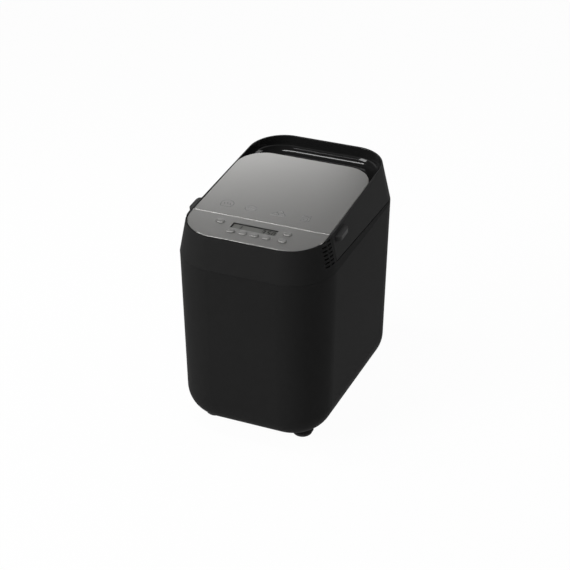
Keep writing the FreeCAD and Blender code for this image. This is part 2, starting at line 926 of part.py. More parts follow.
def make_buttons():
    for name, x, v in key_spots():
        key = body(f"{name}_body")
        cap = sketch_on(key, "cap", lift="key_flange_w")
        rounded_rectangle(cap, "key_length", "key_width", "key_corner")
        top = pad(key, cap, "key_proud - key_flange_w")
        high = number("key_proud")
        chamfer(key, top, "key_proud * 0.4", lambda edge: edge.BoundBox.ZMin > high - 0.01)
        flange = sketch_on(key, "flange", lift="key_flange_w - key_flange")
        size = ("key_length + 2 * key_gap + 2", "key_width + 2 * key_gap + 2")
        rounded_rectangle(flange, *size, "key_corner")
        pad(key, flange, "key_flange")
        stem = sketch_on(key, "stem", lift="board_w + switch_size / 2 + key_travel + 0.2")
        rounded_rectangle(stem, "key_stem", "key_stem", "key_stem / 4")
        pad(key, stem, "-board_w - switch_size / 2 - key_travel - plate_thickness - deck")
        node(name, on_top(key, x, v))


def make_boards():
    v = "seam_v - board_setback"
    low = "board_w - board_thickness"
    node("control_board", top_block("board", "0", v, low, "board_width", "board_length", "board_thickness"))
    switches = [
        top_block(f"{name}_switch", x, spot, "board_w", "switch_size", "switch_size", "switch_size / 2")
        for name, x, spot in key_spots()
    ]
    node("push_switches", group("switch_set", *switches))


# Oven chamber

def make_chamber():
    chamber = body("chamber_body")
    outer = sketch_on(chamber, "outer", lift="chamber_floor")
    grow = "2 * chamber_wall"
    rounded_rectangle(
        outer, f"chamber_width + {grow}", f"chamber_length + {grow}", "chamber_corner + chamber_wall"
    )
    pad(chamber, outer, "chamber_top - chamber_floor")
    flange = sketch_on(chamber, "flange", lift="chamber_top - chamber_wall")
    rounded_rectangle(
        flange,
        "chamber_width + 2 * chamber_flange",
        "chamber_length + 2 * chamber_flange",
        "chamber_corner + chamber_flange",
    )
    pad(chamber, flange, "chamber_wall")
    inner = sketch_on(chamber, "inner", lift="chamber_top")
    rounded_rectangle(inner, "chamber_width", "chamber_length", "chamber_corner")
    pocket(chamber, inner, "chamber_top - seat_z")
    hole = circles(sketch_on(chamber, "hole", lift="seat_z"), [("0", "0", "coupler_radius + 4")])
    pocket(chamber, hole, "chamber_wall")
    wall = sketch_on(chamber, "wall_holes", "XZ_Plane", lift="chamber_length / 2 - 5")
    spots = [(f"{sign} * heater_leg_x", "heater_height", "heater_radius + 1.5") for sign in (-1, 1)]
    circles(wall, spots + [("0", "sensor_height", "sensor_radius")])
    pocket(chamber, wall, "chamber_wall + 10", upwards=True)
    node("oven_chamber", at(chamber, "0", "oven_y"))


def rounded_loop(points, corners):
    """Edges of straight runs through the points, with a tangent bend of its own radius at each corner."""
    edges, start = [], points[0]
    for before, corner_point, after, radius in zip(points, points[1:], points[2:], corners):
        into = (corner_point - before).normalize()
        out = (after - corner_point).normalize()
        half_turn = into.getAngle(out) / 2
        reach = radius * math.tan(half_turn)
        bend_in, bend_out = corner_point - into * reach, corner_point + out * reach
        inward = (out - into).normalize()
        centre = corner_point + inward * (radius / math.cos(half_turn))
        edges.append(Part.LineSegment(start, bend_in).toShape())
        edges.append(Part.Arc(bend_in, centre - inward * radius, bend_out).toShape())
        start = bend_out
    edges.append(Part.LineSegment(start, points[-1]).toShape())
    return edges


def make_heater():
    half_x, half_y = number("chamber_width / 2 - heater_inset"), number("chamber_length / 2 - heater_inset")
    leg, height, tail = number("heater_leg_x"), number("heater_height"), number("heater_tail")
    middle, front = number("oven_y"), number("chamber_front_y")
    leg_corner = number("2 * heater_radius")
    loop = [(leg, front - tail), (leg, middle - half_y), (half_x, middle - half_y), (half_x, middle + half_y)]
    points = [Vector(x, y, height) for x, y in loop]
    mirrored = [Vector(-p.x, p.y, p.z) for p in reversed(points)]
    edges = rounded_loop(points + mirrored, [leg_corner] + [number("heater_corner")] * 4 + [leg_corner])
    ring = Part.Wire([Part.Circle(points[0], Vector(0, 1, 0), number("heater_radius")).toShape()])
    heater = doc.addObject("Part::Feature", "heater")
    heater.Shape = Part.Wire(edges).makePipe(Part.Face(ring))
    node("heater_tube", heater)
    clips = []
    reach = "heater_inset"
    for i, sign in enumerate((-1, 1)):
        x = f"{sign} * (chamber_width / 2 - {reach} / 2)"
        z = "heater_height - heater_radius - 2"
        clips.append(block(f"heater_clip_{i}", x, "oven_y", z, reach, "clip_length", "2"))
    node("heater_clips", group("heater_clip_set", *clips))


def make_sensors():
    start = "chamber_front_y - 10"
    length = "10 + chamber_wall + sensor_reach"
    node("temperature_sensor", rod_y("sensor", "sensor_radius", length, "0", start, "sensor_height"))
    start = "chamber_front_y - cutout_radius"
    node("thermal_cutout", rod_y("cutout", "cutout_radius", "cutout_radius", "0", start, "cutout_height"))


# Bread pan, its seat and its handle

def tube(name, outer, inner, z, height):
    """A ring about the oven's upright axis."""
    wall = cylinder(f"{name}_outer", outer, height, "0", "oven_y", z)
    return cut(name, wall, cylinder(f"{name}_inner", inner, height, "0", "oven_y", z))


def lug(name, outer, inner, index, z, height):
    """A sector of a ring, centred on one of the equally spaced lug angles."""
    wedge = cylinder(f"{name}_outer", outer, height, "0", "oven_y", z)
    bind(wedge, {"Angle": "lug_angle"})
    turn(wedge, (0, 0, 1), f"{index} * 360 / {LUGS} - lug_angle / 2")
    return cut(name, wedge, cylinder(f"{name}_inner", inner, height, "0", "oven_y", z))


def make_pan_seat():
    ring = tube("seat_ring", "seat_radius + seat_wall", "seat_radius", "seat_z", "seat_height")
    low = "seat_z + seat_height - lug_height"
    lugs = [
        lug(f"seat_lug_{i}", "seat_radius + seat_wall / 2", "ring_radius + seat_gap", i, low, "lug_height")
        for i in range(LUGS)
    ]
    node("pan_seat", fuse("seat", ring, *lugs))


def make_pan():
    pan = body("pan_body")
    outer = sketch_on(pan, "outer", lift="pan_floor")
    rounded_rectangle(outer, "pan_width", "pan_length", "pan_corner")
    tub = pad(pan, outer, "pan_height")
    low = number("pan_floor + pan_wall")
    fillet(pan, tub, "pan_round", lambda edge: edge.BoundBox.ZMax < low)
    lip = sketch_on(pan, "lip", lift="pan_top - pan_lip_height")
    rounded_rectangle(lip, "pan_width + 2 * pan_lip", "pan_length + 2 * pan_lip", "pan_corner + pan_lip")
    pad(pan, lip, "pan_lip_height")
    inner = sketch_on(pan, "inner", lift="pan_top")
    shrink = "2 * pan_wall"
    rounded_rectangle(inner, f"pan_width - {shrink}", f"pan_length - {shrink}", "pan_corner - pan_wall")
    hollow = pocket(pan, inner, "pan_height - pan_wall")
    high = low + number("pan_wall")
    fillet(
        pan,
        hollow,
        "pan_round - pan_wall",
        lambda edge: low - 0.01 < edge.BoundBox.ZMin <= edge.BoundBox.ZMax < high,
    )
    hole = circles(sketch_on(pan, "hole", lift="pan_top"), [("0", "0", "bush_radius")])
    pocket(pan, hole, "pan_height")
    at(pan, "0", "oven_y")
    ears, bores = [], []
    for name, sign in (("front", -1), ("rear", 1)):
        y = f"oven_y + {sign} * (pan_length + ear_plate) / 2"
        ears.append(
            block(f"pan_ear_{name}", "0", y, "pivot_z - ear_width / 2", "ear_width", "ear_plate", "ear_width")
        )
        start = f"oven_y + {sign} * (pan_length / 2 + ear_plate / 2) - ear_plate / 2"
        radius = "pivot_radius + running_gap"
        bores.append(rod_y(f"pan_bore_{name}", radius, "ear_plate", "0", start, "pivot_z"))
    node("bread_pan", cut("pan", fuse("pan_eared", pan, *ears), *bores))


def make_pan_ring():
    ring = tube("pan_ring_wall", "ring_radius", "ring_radius - seat_wall", "ring_z", "pan_floor - ring_z")
    low = "ring_z + 2"
    lugs = [
        lug(f"ring_lug_{i}", "seat_radius - seat_gap", "ring_radius - seat_wall / 2", i, low, "lug_height")
        for i in range(LUGS)
    ]
    node("pan_ring", fuse("ring", ring, *lugs))
    bore = "paddle_shaft_radius + running_gap"
    node("pan_bush", tube("bush", "bush_radius", bore, "bush_z", "bush_height"))


def bail_form(name, half, top, tail, width, corner):
    """A slab across X with its two upper corners rounded, turned down to the folded place."""
    owner = body(name)
    sketch = sketch_on(owner, "outline", "YZ_Plane", lift=f"-({width}) / 2")
    points = ((f"-{half}", f"-{tail}"), (half, f"-{tail}"), (half, top), (f"-{half}", top))
    slab = pad(owner, profile(sketch, points), width)
    across = number(width)
    fillet(
        owner,
        slab,
        corner,
        lambda edge: abs(edge.BoundBox.XLength - across) < 1e-4 and edge.CenterOfMass.z > 0,
    )
    turn(owner, (0, 1, 0), "handle_fold")
    return at(owner, "0", "oven_y", "pivot_z")


def make_handle():
    outer = ("(arm_y + handle_strap)", "(handle_reach + handle_strap / 2)", "handle_tail", "handle_width")
    inner = ("arm_y", "(handle_reach - handle_strap / 2)", "3 * handle_tail", "2 * handle_width")
    bail = bail_form("bail", *outer, "handle_corner + handle_strap")
    gap = bail_form("bail_gap", *inner, "handle_corner")
    pin_length = "ear_plate + handle_gap - seat_gap"
    pins = [
        rod_y(f"pivot_{name}", "pivot_radius", pin_length, "0", start, "pivot_z")
        for name, start in (("front", "oven_y - arm_y"), ("rear", "oven_y + pan_length / 2 + seat_gap"))
    ]
    node("pan_handle", fuse("handle", cut("bail_strap", bail, gap), *pins))


def make_paddle():
    hub_z = "bush_z + bush_height + 1"
    shaft_top = f"{hub_z} + paddle_height * 0.7 - wing_z"
    shaft = cylinder("kneading_shaft", "paddle_shaft_radius", shaft_top, "0", "oven_y", "wing_z")
    wing = block("wing", "0", "oven_y", "wing_z", "wing_width", "wing_length", "wing_height")
    node("paddle_shaft", fuse("winged_shaft", shaft, wing))
    paddle = body("paddle_body")
    points = (
        ("0", "0"),
        ("paddle_reach", "0"),
        ("paddle_reach", "paddle_height * 0.35"),
        ("paddle_hub * 1.6", "paddle_height"),
        ("0", "paddle_height"),
    )
    blade = sketch_on(paddle, "blade", "XZ_Plane", lift="-paddle_thickness / 2")
    pad(paddle, profile(blade, points), "paddle_thickness")
    hub = circles(sketch_on(paddle, "hub"), [("0", "0", "paddle_hub")])
    pad(paddle, hub, "paddle_height * 0.8")
    bore = circles(sketch_on(paddle, "bore", lift="paddle_height * 0.7"), [("0", "0", "paddle_shaft_radius")])
    pocket(paddle, bore, "paddle_height * 0.7")
    node("kneading_paddle", at(paddle, "0", "oven_y", hub_z))


# Drive below the chamber

def pulley_profile(radius, bore):
    lip = f"{radius} + pulley_lip"
    low, high = "pulley_flange", "pulley_flange + belt_width + 1"
    return (
        (bore, "0"),
        (lip, "0"),
        (lip, low),
        (radius, low),
        (radius, high),
        (lip, high),
        (lip, f"{high} + pulley_flange"),
        (bore, f"{high} + pulley_flange"),
    )


def pulley(name, radius, bore, y):
    wheel = body(name)
    revolve(wheel, profile(sketch_on(wheel, "half", "XZ_Plane"), pulley_profile(radius, bore)))
    return at(wheel, "0", y, "pulley_height")


def make_drive():
    reach = "coupler_z + coupler_height - pulley_height"
    node("drive_shaft", cylinder("main_shaft", "drive_shaft_radius", reach, "0", "oven_y", "pulley_height"))
    disc = tube("coupler_disc", "coupler_radius", "drive_shaft_radius", "coupler_z", "coupler_height")
    offset = "(wing_width / 2 + dog_radius + seat_gap)"
    dogs = [
        cylinder(
            f"dog_{i}",
            "dog_radius",
            "coupler_height + dog_height",
            f"{sign} * {offset}",
            f"oven_y + {sign} * dog_run",
            "coupler_z",
        )
        for i, sign in enumerate((-1, 1))
    ]
    node("drive_coupler", fuse("coupler", disc, *dogs))
    node("drive_pulley", pulley("large_pulley", "drive_pulley_radius", "drive_shaft_radius", "oven_y"))
    bore = "drive_shaft_radius + running_gap"
    low = "chassis_height - bearing_drop"
    node("drive_bearing", tube("bearing", "bearing_radius", bore, low, "bearing_height"))


def make_motor():
    node("motor_pulley", pulley("small_pulley", "motor_pulley_radius", "motor_shaft_radius", "-motor_y"))
    length = "motor_z + motor_height / 2 - pulley_height"
    shaft = cylinder("motor_spindle", "motor_shaft_radius", length, "0", "-motor_y", "pulley_height")
    node("motor_shaft", shaft)
    motor = body("motor_body")
    bore = "motor_shaft_radius + running_gap"
    points = (
        (bore, "0"),
        ("motor_radius", "0"),
        ("motor_radius", "motor_height - 4"),
        ("motor_radius - 4", "motor_height"),
        ("0", "motor_height"),
        ("0", "motor_height / 2 + 1"),
        (bore, "motor_height / 2 + 1"),
    )
    revolve(motor, profile(sketch_on(motor, "half", "XZ_Plane"), points))
    node("drive_motor", at(motor, "0", "-motor_y", "motor_z"))


def belt_outline(sketch, growth):
    """A loop round the large pulley at the origin and the small pulley in front of it."""
    radii = [f"{size} + {growth}" for size in ("drive_pulley_radius", "motor_pulley_radius")]
    large, small = (number(radius) for radius in radii)
    run = number("belt_run")
    lean = math.asin((large - small) / run)
    up, middle, far = Vector(0, 0, 1), Vector(), Vector(0, -run, 0)
    left = Vector(-math.cos(lean), -math.sin(lean), 0)
    right = Vector(math.cos(lean), -math.sin(lean), 0)
    sketch.addGeometry(Part.ArcOfCircle(Part.Circle(middle, up, large), -lean, math.pi + lean))
    sketch.addGeometry(Part.LineSegment(left * large, far + left * small))
    sketch.addGeometry(Part.ArcOfCircle(Part.Circle(far, up, small), math.pi + lean, 2 * math.pi - lean))
    sketch.addGeometry(Part.LineSegment(far + right * small, right * large))
    rule = Sketcher.Constraint
    for edge in range(4):
        sketch.addConstraint(rule("Tangent", edge, 2, (edge + 1) % 4, 1))
    sketch.addConstraint(rule("Coincident", 0, 3, -1, 1))
    sketch.addConstraint(rule("PointOnObject", 2, 3, -2))
    driven = {
        "large": (rule("Radius", 0, large), radii[0]),
        "small": (rule("Radius", 2, small), radii[1]),
        "run": (rule("DistanceY", -1, 1, 2, 3, -run), "-belt_run"),
    }
    for name, (constraint, size) in driven.items():
        sketch.renameConstraint(sketch.addConstraint(constraint), name)
        bind(sketch, {f"Constraints.{name}": size})
    return sketch


def make_belt():
    belt = body("belt_body")
    pad(belt, belt_outline(sketch_on(belt, "outer"), "belt_gap + belt_thickness"), "belt_width")
    pocket(belt, belt_outline(sketch_on(belt, "inner"), "belt_gap"), "belt_width", upwards=True)
    node("drive_belt", at(belt, "0", "oven_y", "belt_z"))


def make_chassis():
    sheet = body("chassis_body")
    outline = sketch_on(sheet, "outline", y="(chassis_rear - chassis_front) / 2", lift="chassis_height")
    rounded_rectangle(outline, "chassis_width", "chassis_rear + chassis_front", "leg_radius * 5")
    pad(sheet, outline, "chassis_sheet")
    holes = sketch_on(sheet, "holes", lift="chassis_height")
    circles(holes, [("0", "oven_y", "bearing_radius"), ("0", "-motor_y", "2 * motor_shaft_radius")])
    pocket(sheet, holes, "chassis_sheet", upwards=True)
    corners = [(i, k) for i in (-1, 1) for k in (-1, 1)]
    low = "base_z + base_sheet"
    legs = [
        cylinder(f"leg_{n}", "leg_radius", f"chassis_height - {low}", f"{i} * leg_x", f"{k} * leg_y", low)
        for n, (i, k) in enumerate(corners)
    ]
    gap = "chamber_floor - motor_z"
    stands = [
        cylinder(f"stand_{n}", "leg_radius", gap, f"{i} * stand_x", f"oven_y + {k} * stand_y", "motor_z")
        for n, (i, k) in enumerate(corners)
    ]
    node("chassis", fuse("chassis_frame", sheet, *legs, *stands))


# Electrics

def make_electrics():
    sheet = "chamber_wall"
    size = ("shield_width", sheet, "shield_height")
    upright_sheet = block("shield_sheet", "0", f"shield_y + {sheet} / 2", "motor_z", *size)
    fold = ("shield_width", "shield_foot", sheet)
    foot = block("shield_fold", "0", "shield_y + shield_foot / 2", "motor_z", *fold)
    board_y = "shield_y - standoff - board_thickness"
    mid_z = "(power_board_z + power_board_height / 2)"
    stand_x, stand_z = "(power_board_width / 2 - stand_inset)", "(power_board_height / 2 - stand_inset)"
    spots = [(f"{i} * {stand_x}", f"{mid_z} + {k} * {stand_z}") for i in (-1, 1) for k in (-1, 1)]
    stands = [
        rod_y(f"shield_stand_{n}", "standoff_radius", "standoff", x, "shield_y - standoff", z)
        for n, (x, z) in enumerate(spots)
    ]
    node("heat_shield", fuse("shield", upright_sheet, foot, *stands))
    board = block(
        "mains_board",
        "0",
        f"{board_y} + board_thickness / 2",
        "power_board_z",
        "power_board_width",
        "board_thickness",
        "power_board_height",
    )
    node("power_board", board)
    for name, side in (("transformer", -1), ("relay", 1)):
        size = (f"{name}_length", f"{name}_depth", f"{name}_height")
        spot = (f"{side} * {name}_x", f"{board_y} - {name}_depth / 2", f"power_board_z + {name}_rise")
        node(name, block(f"{name}_case", *spot, *size))
    spot = ("capacitor_x", f"{board_y} - capacitor_length", "power_board_z + capacitor_rise")
    node("capacitor", rod_y("capacitor_can", "capacitor_radius", "capacitor_length", *spot))


def make_gland():
    wall_y = gland_wall_y()
    start = f"{wall_y} - gland_inside"
    barrel = rod_y("gland_barrel", "gland_radius", "gland_length", "gland_x", start, "gland_height")
    start = f"{wall_y} + fit_gap"
    flange = rod_y("gland_flange_disc", "gland_flange", "gland_collar", "gland_x", start, "gland_height")
    start = f"{wall_y} - gland_length"
    bore = rod_y("gland_bore", "cord_hole_radius", "2 * gland_length", "gland_x", start, "gland_height")
    node("cord_gland", cut("gland", fuse("gland_solid", barrel, flange), bore))


# Lid

def lid_slab(name, gap, low, height):
    front = "plate_front_v" if gap == "0" else "plate_front_v - 3"
    rear = f"plate_rear_v + {gap}"
    return tongue(name, f"plate_half + {gap}", front, rear, f"plate_corner + {gap}", low, height, True)


def standing_prism(name, half_width, front, rear, corner, low):
    """A tall rounded block between two depths, standing on a height."""
    item = prism(name, f"2 * ({half_width})", f"({rear}) - ({front})", corner, FAR / 4)
    return at(item, "0", f"(({rear}) + ({front})) / 2", low)


def trough_recess():
    """The channel behind the top plate, which runs round the plate's rear corners."""
    half, end = "rim_half - trough_wall", "rim_rear_y - trough_wall"
    channel = standing_prism("channel", half, "0", end, "trough_corner", "trough_floor")
    fillet(channel, channel.Tip, "trough_round", lambda edge: edge.BoundBox.ZMax < 0.01)
    rear = "plate_rear_y - plate_overhang"
    base = "trough_floor - 1"
    pedestal = standing_prism("pedestal", "plate_half", "lid_front_y", rear, "plate_corner", base)
    return cut("trough", channel, pedestal)


def trough_backing():
    """What the lid's hollow leaves standing round the channel."""
    low = "trough_floor - wall"
    everything = behind("behind_plate", "0", low)
    rear = "plate_rear_y - plate_overhang - wall"
    inside = standing_prism(
        "inside_pedestal", "plate_half + 5", "lid_front_y", rear, "trough_inner_corner", f"{low} - 1"
    )
    return cut("trough_backing", everything, inside)


def grips():
    lips = []
    for side, sign in HINGES.items():
        lip = prism(f"grip_{side}", "2 * grip_reach", "grip_length", "grip_reach - 1", "grip_height")
        x = f"{sign} * (rim_half + 2.5)"
        v = "plate_front_v + grip_setback + grip_length / 2"
        lips.append(on_top(lip, x, v, "-(grip_drop + grip_height)"))
    return lips


def knuckles():
    parts = []
    for side, sign in HINGES.items():
        x = f"{sign} * hinge_spacing / 2"
        parts.append(rod_x(f"knuckle_{side}", "knuckle_radius", "knuckle_length", x, "hinge_y", "hinge_z"))
        y = "hinge_y - 1 - knuckle_radius / 2"
        size = ("knuckle_length", "knuckle_radius", "2.2 * knuckle_radius")
        parts.append(block(f"knuckle_web_{side}", x, y, "hinge_z", *size))
    return parts


def hinge_notches():
    room = "2 * (ear_gap + ear_thickness + 1)"
    notches = [
        block(
            f"hinge_notch_{side}",
            f"{sign} * hinge_spacing / 2",
            "hinge_y - knuckle_radius - 3 + 20",
            "lid_bottom - 5",
            f"knuckle_length + {room}",
            "40",
            "hinge_rise + knuckle_radius + 6",
        )
        for side, sign in HINGES.items()
    ]
    relief = box("rear_relief_cut", 2 * FAR, FAR, "rear_relief + 5")
    at(relief, -FAR, "hinge_y - 4", "lid_bottom - 5")
    return [*notches, relief]


def lid_post_spots():
    for i in (-1, 1):
        for y in ("post_front_y", "post_rear_y"):
            yield f"{i} * post_x", y


def make_lid_shell():
    solid = common("lid_solid", crown, behind("lid_zone", "lid_front_y", "lid_bottom"))
    gripped = fuse("lid_gripped", solid, *grips())
    inside = common("lid_inside", crown_room, behind("lid_room_zone", "lid_front_y + wall", "lid_bottom - 5"))
    room = cut("lid_room", inside, trough_backing())
    pocketed = cut(
        "lid_pocketed",
        gripped,
        room,
        trough_recess(),
        on_top(lid_slab("plate_seat", "fit_gap", "-plate_thickness", "board_drop")),
        *hinge_notches(),
    )
    posts = []
    for i, (x, y) in enumerate(lid_post_spots()):
        rod = cylinder(f"lid_post_rod_{i}", "post_radius", FAR, x, y, "liner_z + liner_sheet")
        posts.append(common(f"lid_post_{i}", room, rod))
    grown = fuse("lid_grown", pocketed, *posts, *knuckles())
    holes = [
        cylinder(f"lid_post_hole_{i}", "screw_radius", "screw_length", x, y, "liner_z")
        for i, (x, y) in enumerate(lid_post_spots())
    ]
    node("lid_shell", cut("lid", grown, *hinge_bores("lid_bore", "pin_radius + running_gap"), *holes))


def make_lid_plate():
    slab = eased(lid_slab("plate", "0", "-plate_thickness", "plate_thickness"), "plate_round")
    node("lid_plate", on_top(slab))


def make_liner():
    liner = body("liner_body")
    rim = sketch_on(liner, "rim", lift="liner_z")
    rounded_rectangle(rim, "liner_width", "liner_length", "liner_corner")
    pad(liner, rim, "liner_sheet")
    dome = sketch_on(liner, "dome", lift="liner_z")
    step = "2 * liner_step"
    size = (f"chamber_width - {step}", f"chamber_length - {step}")
    rounded_rectangle(dome, *size, "chamber_corner - liner_step")
    pad(liner, dome, "liner_rise + liner_sheet")
    inner = sketch_on(liner, "inner", lift="liner_z")
    size = (f"chamber_width - {step} - 2 * liner_sheet", f"chamber_length - {step} - 2 * liner_sheet")
    rounded_rectangle(inner, *size, "chamber_corner - liner_step - liner_sheet")
    pocket(liner, inner, "liner_rise", upwards=True)
    holes = sketch_on(liner, "holes", lift="liner_z")
    circles(holes, [(x, f"({y}) - oven_y", "screw_radius") for x, y in lid_post_spots()])
    pocket(liner, holes, "liner_sheet", upwards=True)
    node("lid_liner", at(liner, "0", "oven_y"))
    gasket = body("gasket_body")
    for name, growth in (("inner", "gasket_setback"), ("outer", "gasket_setback + gasket_width")):
        sketch = sketch_on(gasket, name, lift="gasket_z")
        size = (f"chamber_width + 2 * ({growth})", f"chamber_length + 2 * ({growth})")
        rounded_rectangle(sketch, *size, f"chamber_corner + {growth}")
    outer, inner = gasket.Group[-1], gasket.Group[-2]
    pad(gasket, outer, "gasket_height")
    pocket(gasket, inner, "gasket_height", upwards=True)
    node("lid_gasket", at(gasket, "0", "oven_y"))
    screws = [screw(f"lid_screw_{i}", x, y, "liner_z") for i, (x, y) in enumerate(lid_post_spots())]
    node("lid_screws", group("lid_screw_set", *screws))


def make_hinge_pins():
    length = "knuckle_length + 2 * ear_gap + 2 * ear_thickness"
    for side, sign in HINGES.items():
        x = f"{sign} * hinge_spacing / 2"
        node(f"hinge_pin_{side}", rod_x(f"pin_{side}", "pin_radius", length, x, "hinge_y", "hinge_z"))


make_body_shell()
make_feet()
make_base_plate()
make_base_screws()
make_top_frame()
make_control_panel()
make_display()
make_buttons()
make_boards()
make_chamber()
make_heater()
make_sensors()
make_pan_seat()
make_pan()
make_pan_ring()
make_handle()
make_paddle()
make_drive()
make_motor()
make_belt()
make_chassis()
make_electrics()
make_gland()
make_lid_shell()
make_lid_plate()
make_liner()
make_hinge_pins()


def check_and_write():
    """Refuses to write if any object failed, any cut took nothing, or any sub-part is not a sound solid."""
    doc.recompute()
    for item in doc.Objects:
        if {"Invalid", "Error"} & set(item.State):
            raise RuntimeError(f"{item.Name} failed: {item.State}")
        before = {"PartDesign::Pocket": "BaseFeature", "Part::Cut": "Base"}.get(item.TypeId)
        if before and item.Shape.Volume >= getattr(item, before).Shape.Volume:
            raise RuntimeError(f"{item.Name} took nothing away")
    os.makedirs("parts", exist_ok=True)
    for name, item in nodes.items():
        shape = item.Shape
        if shape.isNull() or not shape.isValid() or not shape.Solids:
            raise RuntimeError(f"{name} is not a sound solid")
    for name, item in nodes.items():
        item.Shape.exportStep(f"parts/{name}.step")


check_and_write()
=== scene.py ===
import json
import math

import bmesh
import bpy
from mathutils import Matrix, Vector

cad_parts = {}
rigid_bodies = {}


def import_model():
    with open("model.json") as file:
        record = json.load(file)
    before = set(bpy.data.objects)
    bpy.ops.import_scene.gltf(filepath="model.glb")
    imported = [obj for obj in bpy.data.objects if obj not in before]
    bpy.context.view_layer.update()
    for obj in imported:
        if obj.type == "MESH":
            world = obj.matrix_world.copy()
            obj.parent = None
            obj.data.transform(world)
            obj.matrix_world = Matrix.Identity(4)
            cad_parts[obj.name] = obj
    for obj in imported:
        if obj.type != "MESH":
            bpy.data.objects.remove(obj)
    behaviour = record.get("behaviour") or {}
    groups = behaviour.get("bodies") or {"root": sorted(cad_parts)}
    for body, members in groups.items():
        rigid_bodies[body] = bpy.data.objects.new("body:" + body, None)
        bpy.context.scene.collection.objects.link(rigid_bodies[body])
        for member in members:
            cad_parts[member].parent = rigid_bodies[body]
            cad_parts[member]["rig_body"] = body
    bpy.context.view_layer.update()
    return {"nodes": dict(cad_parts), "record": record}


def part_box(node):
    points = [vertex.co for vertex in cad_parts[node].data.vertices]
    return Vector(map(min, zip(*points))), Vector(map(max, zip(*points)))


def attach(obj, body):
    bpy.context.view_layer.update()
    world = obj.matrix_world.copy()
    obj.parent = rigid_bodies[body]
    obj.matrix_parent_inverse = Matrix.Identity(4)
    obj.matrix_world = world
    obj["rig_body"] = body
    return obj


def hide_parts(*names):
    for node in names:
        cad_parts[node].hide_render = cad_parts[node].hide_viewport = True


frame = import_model()

MM = 0.001
nodes = frame["nodes"]
record = frame["record"]
scene = bpy.context.scene
slots = {part["node"]: part["material_slot"] for part in record["subparts"]}
bodies = {name: item["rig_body"] for name, item in nodes.items()}

# Camera: the photograph's angle, distance and framing
CAMERA_AZIMUTH = math.radians(23.2)
CAMERA_ELEVATION = math.radians(29.8)
CAMERA_DISTANCE = 2.470
CAMERA_TARGET = Vector((0, 0, 0.160))
CAMERA_LENS = 97.9
CAMERA_SENSOR = 36
CAMERA_SHIFT = (-0.0052, 0.0263)


class TopPlane:
    """The sloping top face: x across, v up the slope, w off the face."""

    def __init__(self):
        joints = record["behaviour"]["joints"]
        press = next(joint for joint in joints if joint["name"] == "menu_press")
        self.off = -Vector(press["axis"]).normalized()
        self.up = Vector((0, self.off.z, -self.off.y))
        panel = nodes["control_panel"].data
        level = max(self.off.dot(vertex.co) for vertex in panel.vertices)
        self.origin = Vector((0, 0, level / self.off.z))

    def read(self, point):
        """A point of the frame in the face's own axes."""
        arm = point - self.origin
        return Vector((point.x, self.up.dot(arm), self.off.dot(arm)))

    def matrix(self, x, v, w):
        """Moves a shape made flat at the origin to a place on the face."""
        place = self.origin + Vector((x, 0, 0)) + self.up * v + self.off * w
        turn = Matrix((Vector((1, 0, 0)), self.up, self.off)).transposed().to_4x4()
        return Matrix.Translation(place) @ turn

    def spots(self, name):
        """All points of a CAD node in the face's own axes."""
        return [self.read(vertex.co) for vertex in nodes[name].data.vertices]

    def span(self, name):
        """Lowest and highest corner of a CAD node in the face's own axes."""
        spots = self.spots(name)
        return (
            Vector([min(spot[axis] for spot in spots) for axis in range(3)]),
            Vector([max(spot[axis] for spot in spots) for axis in range(3)]),
        )


top = TopPlane()


# Shader maths

class Value:
    """One socket of a node tree. Arithmetic on it adds Math nodes."""

    def __init__(self, tree, socket):
        self.tree = tree
        self.socket = socket

    def math(self, operation, *operands):
        node = self.tree.nodes.new("ShaderNodeMath")
        node.operation = operation
        for slot, operand in zip(node.inputs, operands):
            if isinstance(operand, Value):
                self.tree.links.new(operand.socket, slot)
            else:
                slot.default_value = operand
        return Value(self.tree, node.outputs[0])

    def __add__(self, other):
        return self.math("ADD", self, other)

    def __radd__(self, other):
        return self.math("ADD", other, self)

    def __mul__(self, other):
        return self.math("MULTIPLY", self, other)

    def __rmul__(self, other):
        return self.math("MULTIPLY", other, self)


NEUTRAL = (1, 1, 1)
EVEN = (1, 1, 1)


def shade(level, tint=NEUTRAL):
    return (level * tint[0], level * tint[1], level * tint[2], 1)


def around(level, factor, spread):
    """A value that wanders round a level as the factor goes from 0 to 1."""
    return level - spread / 2 + factor * spread


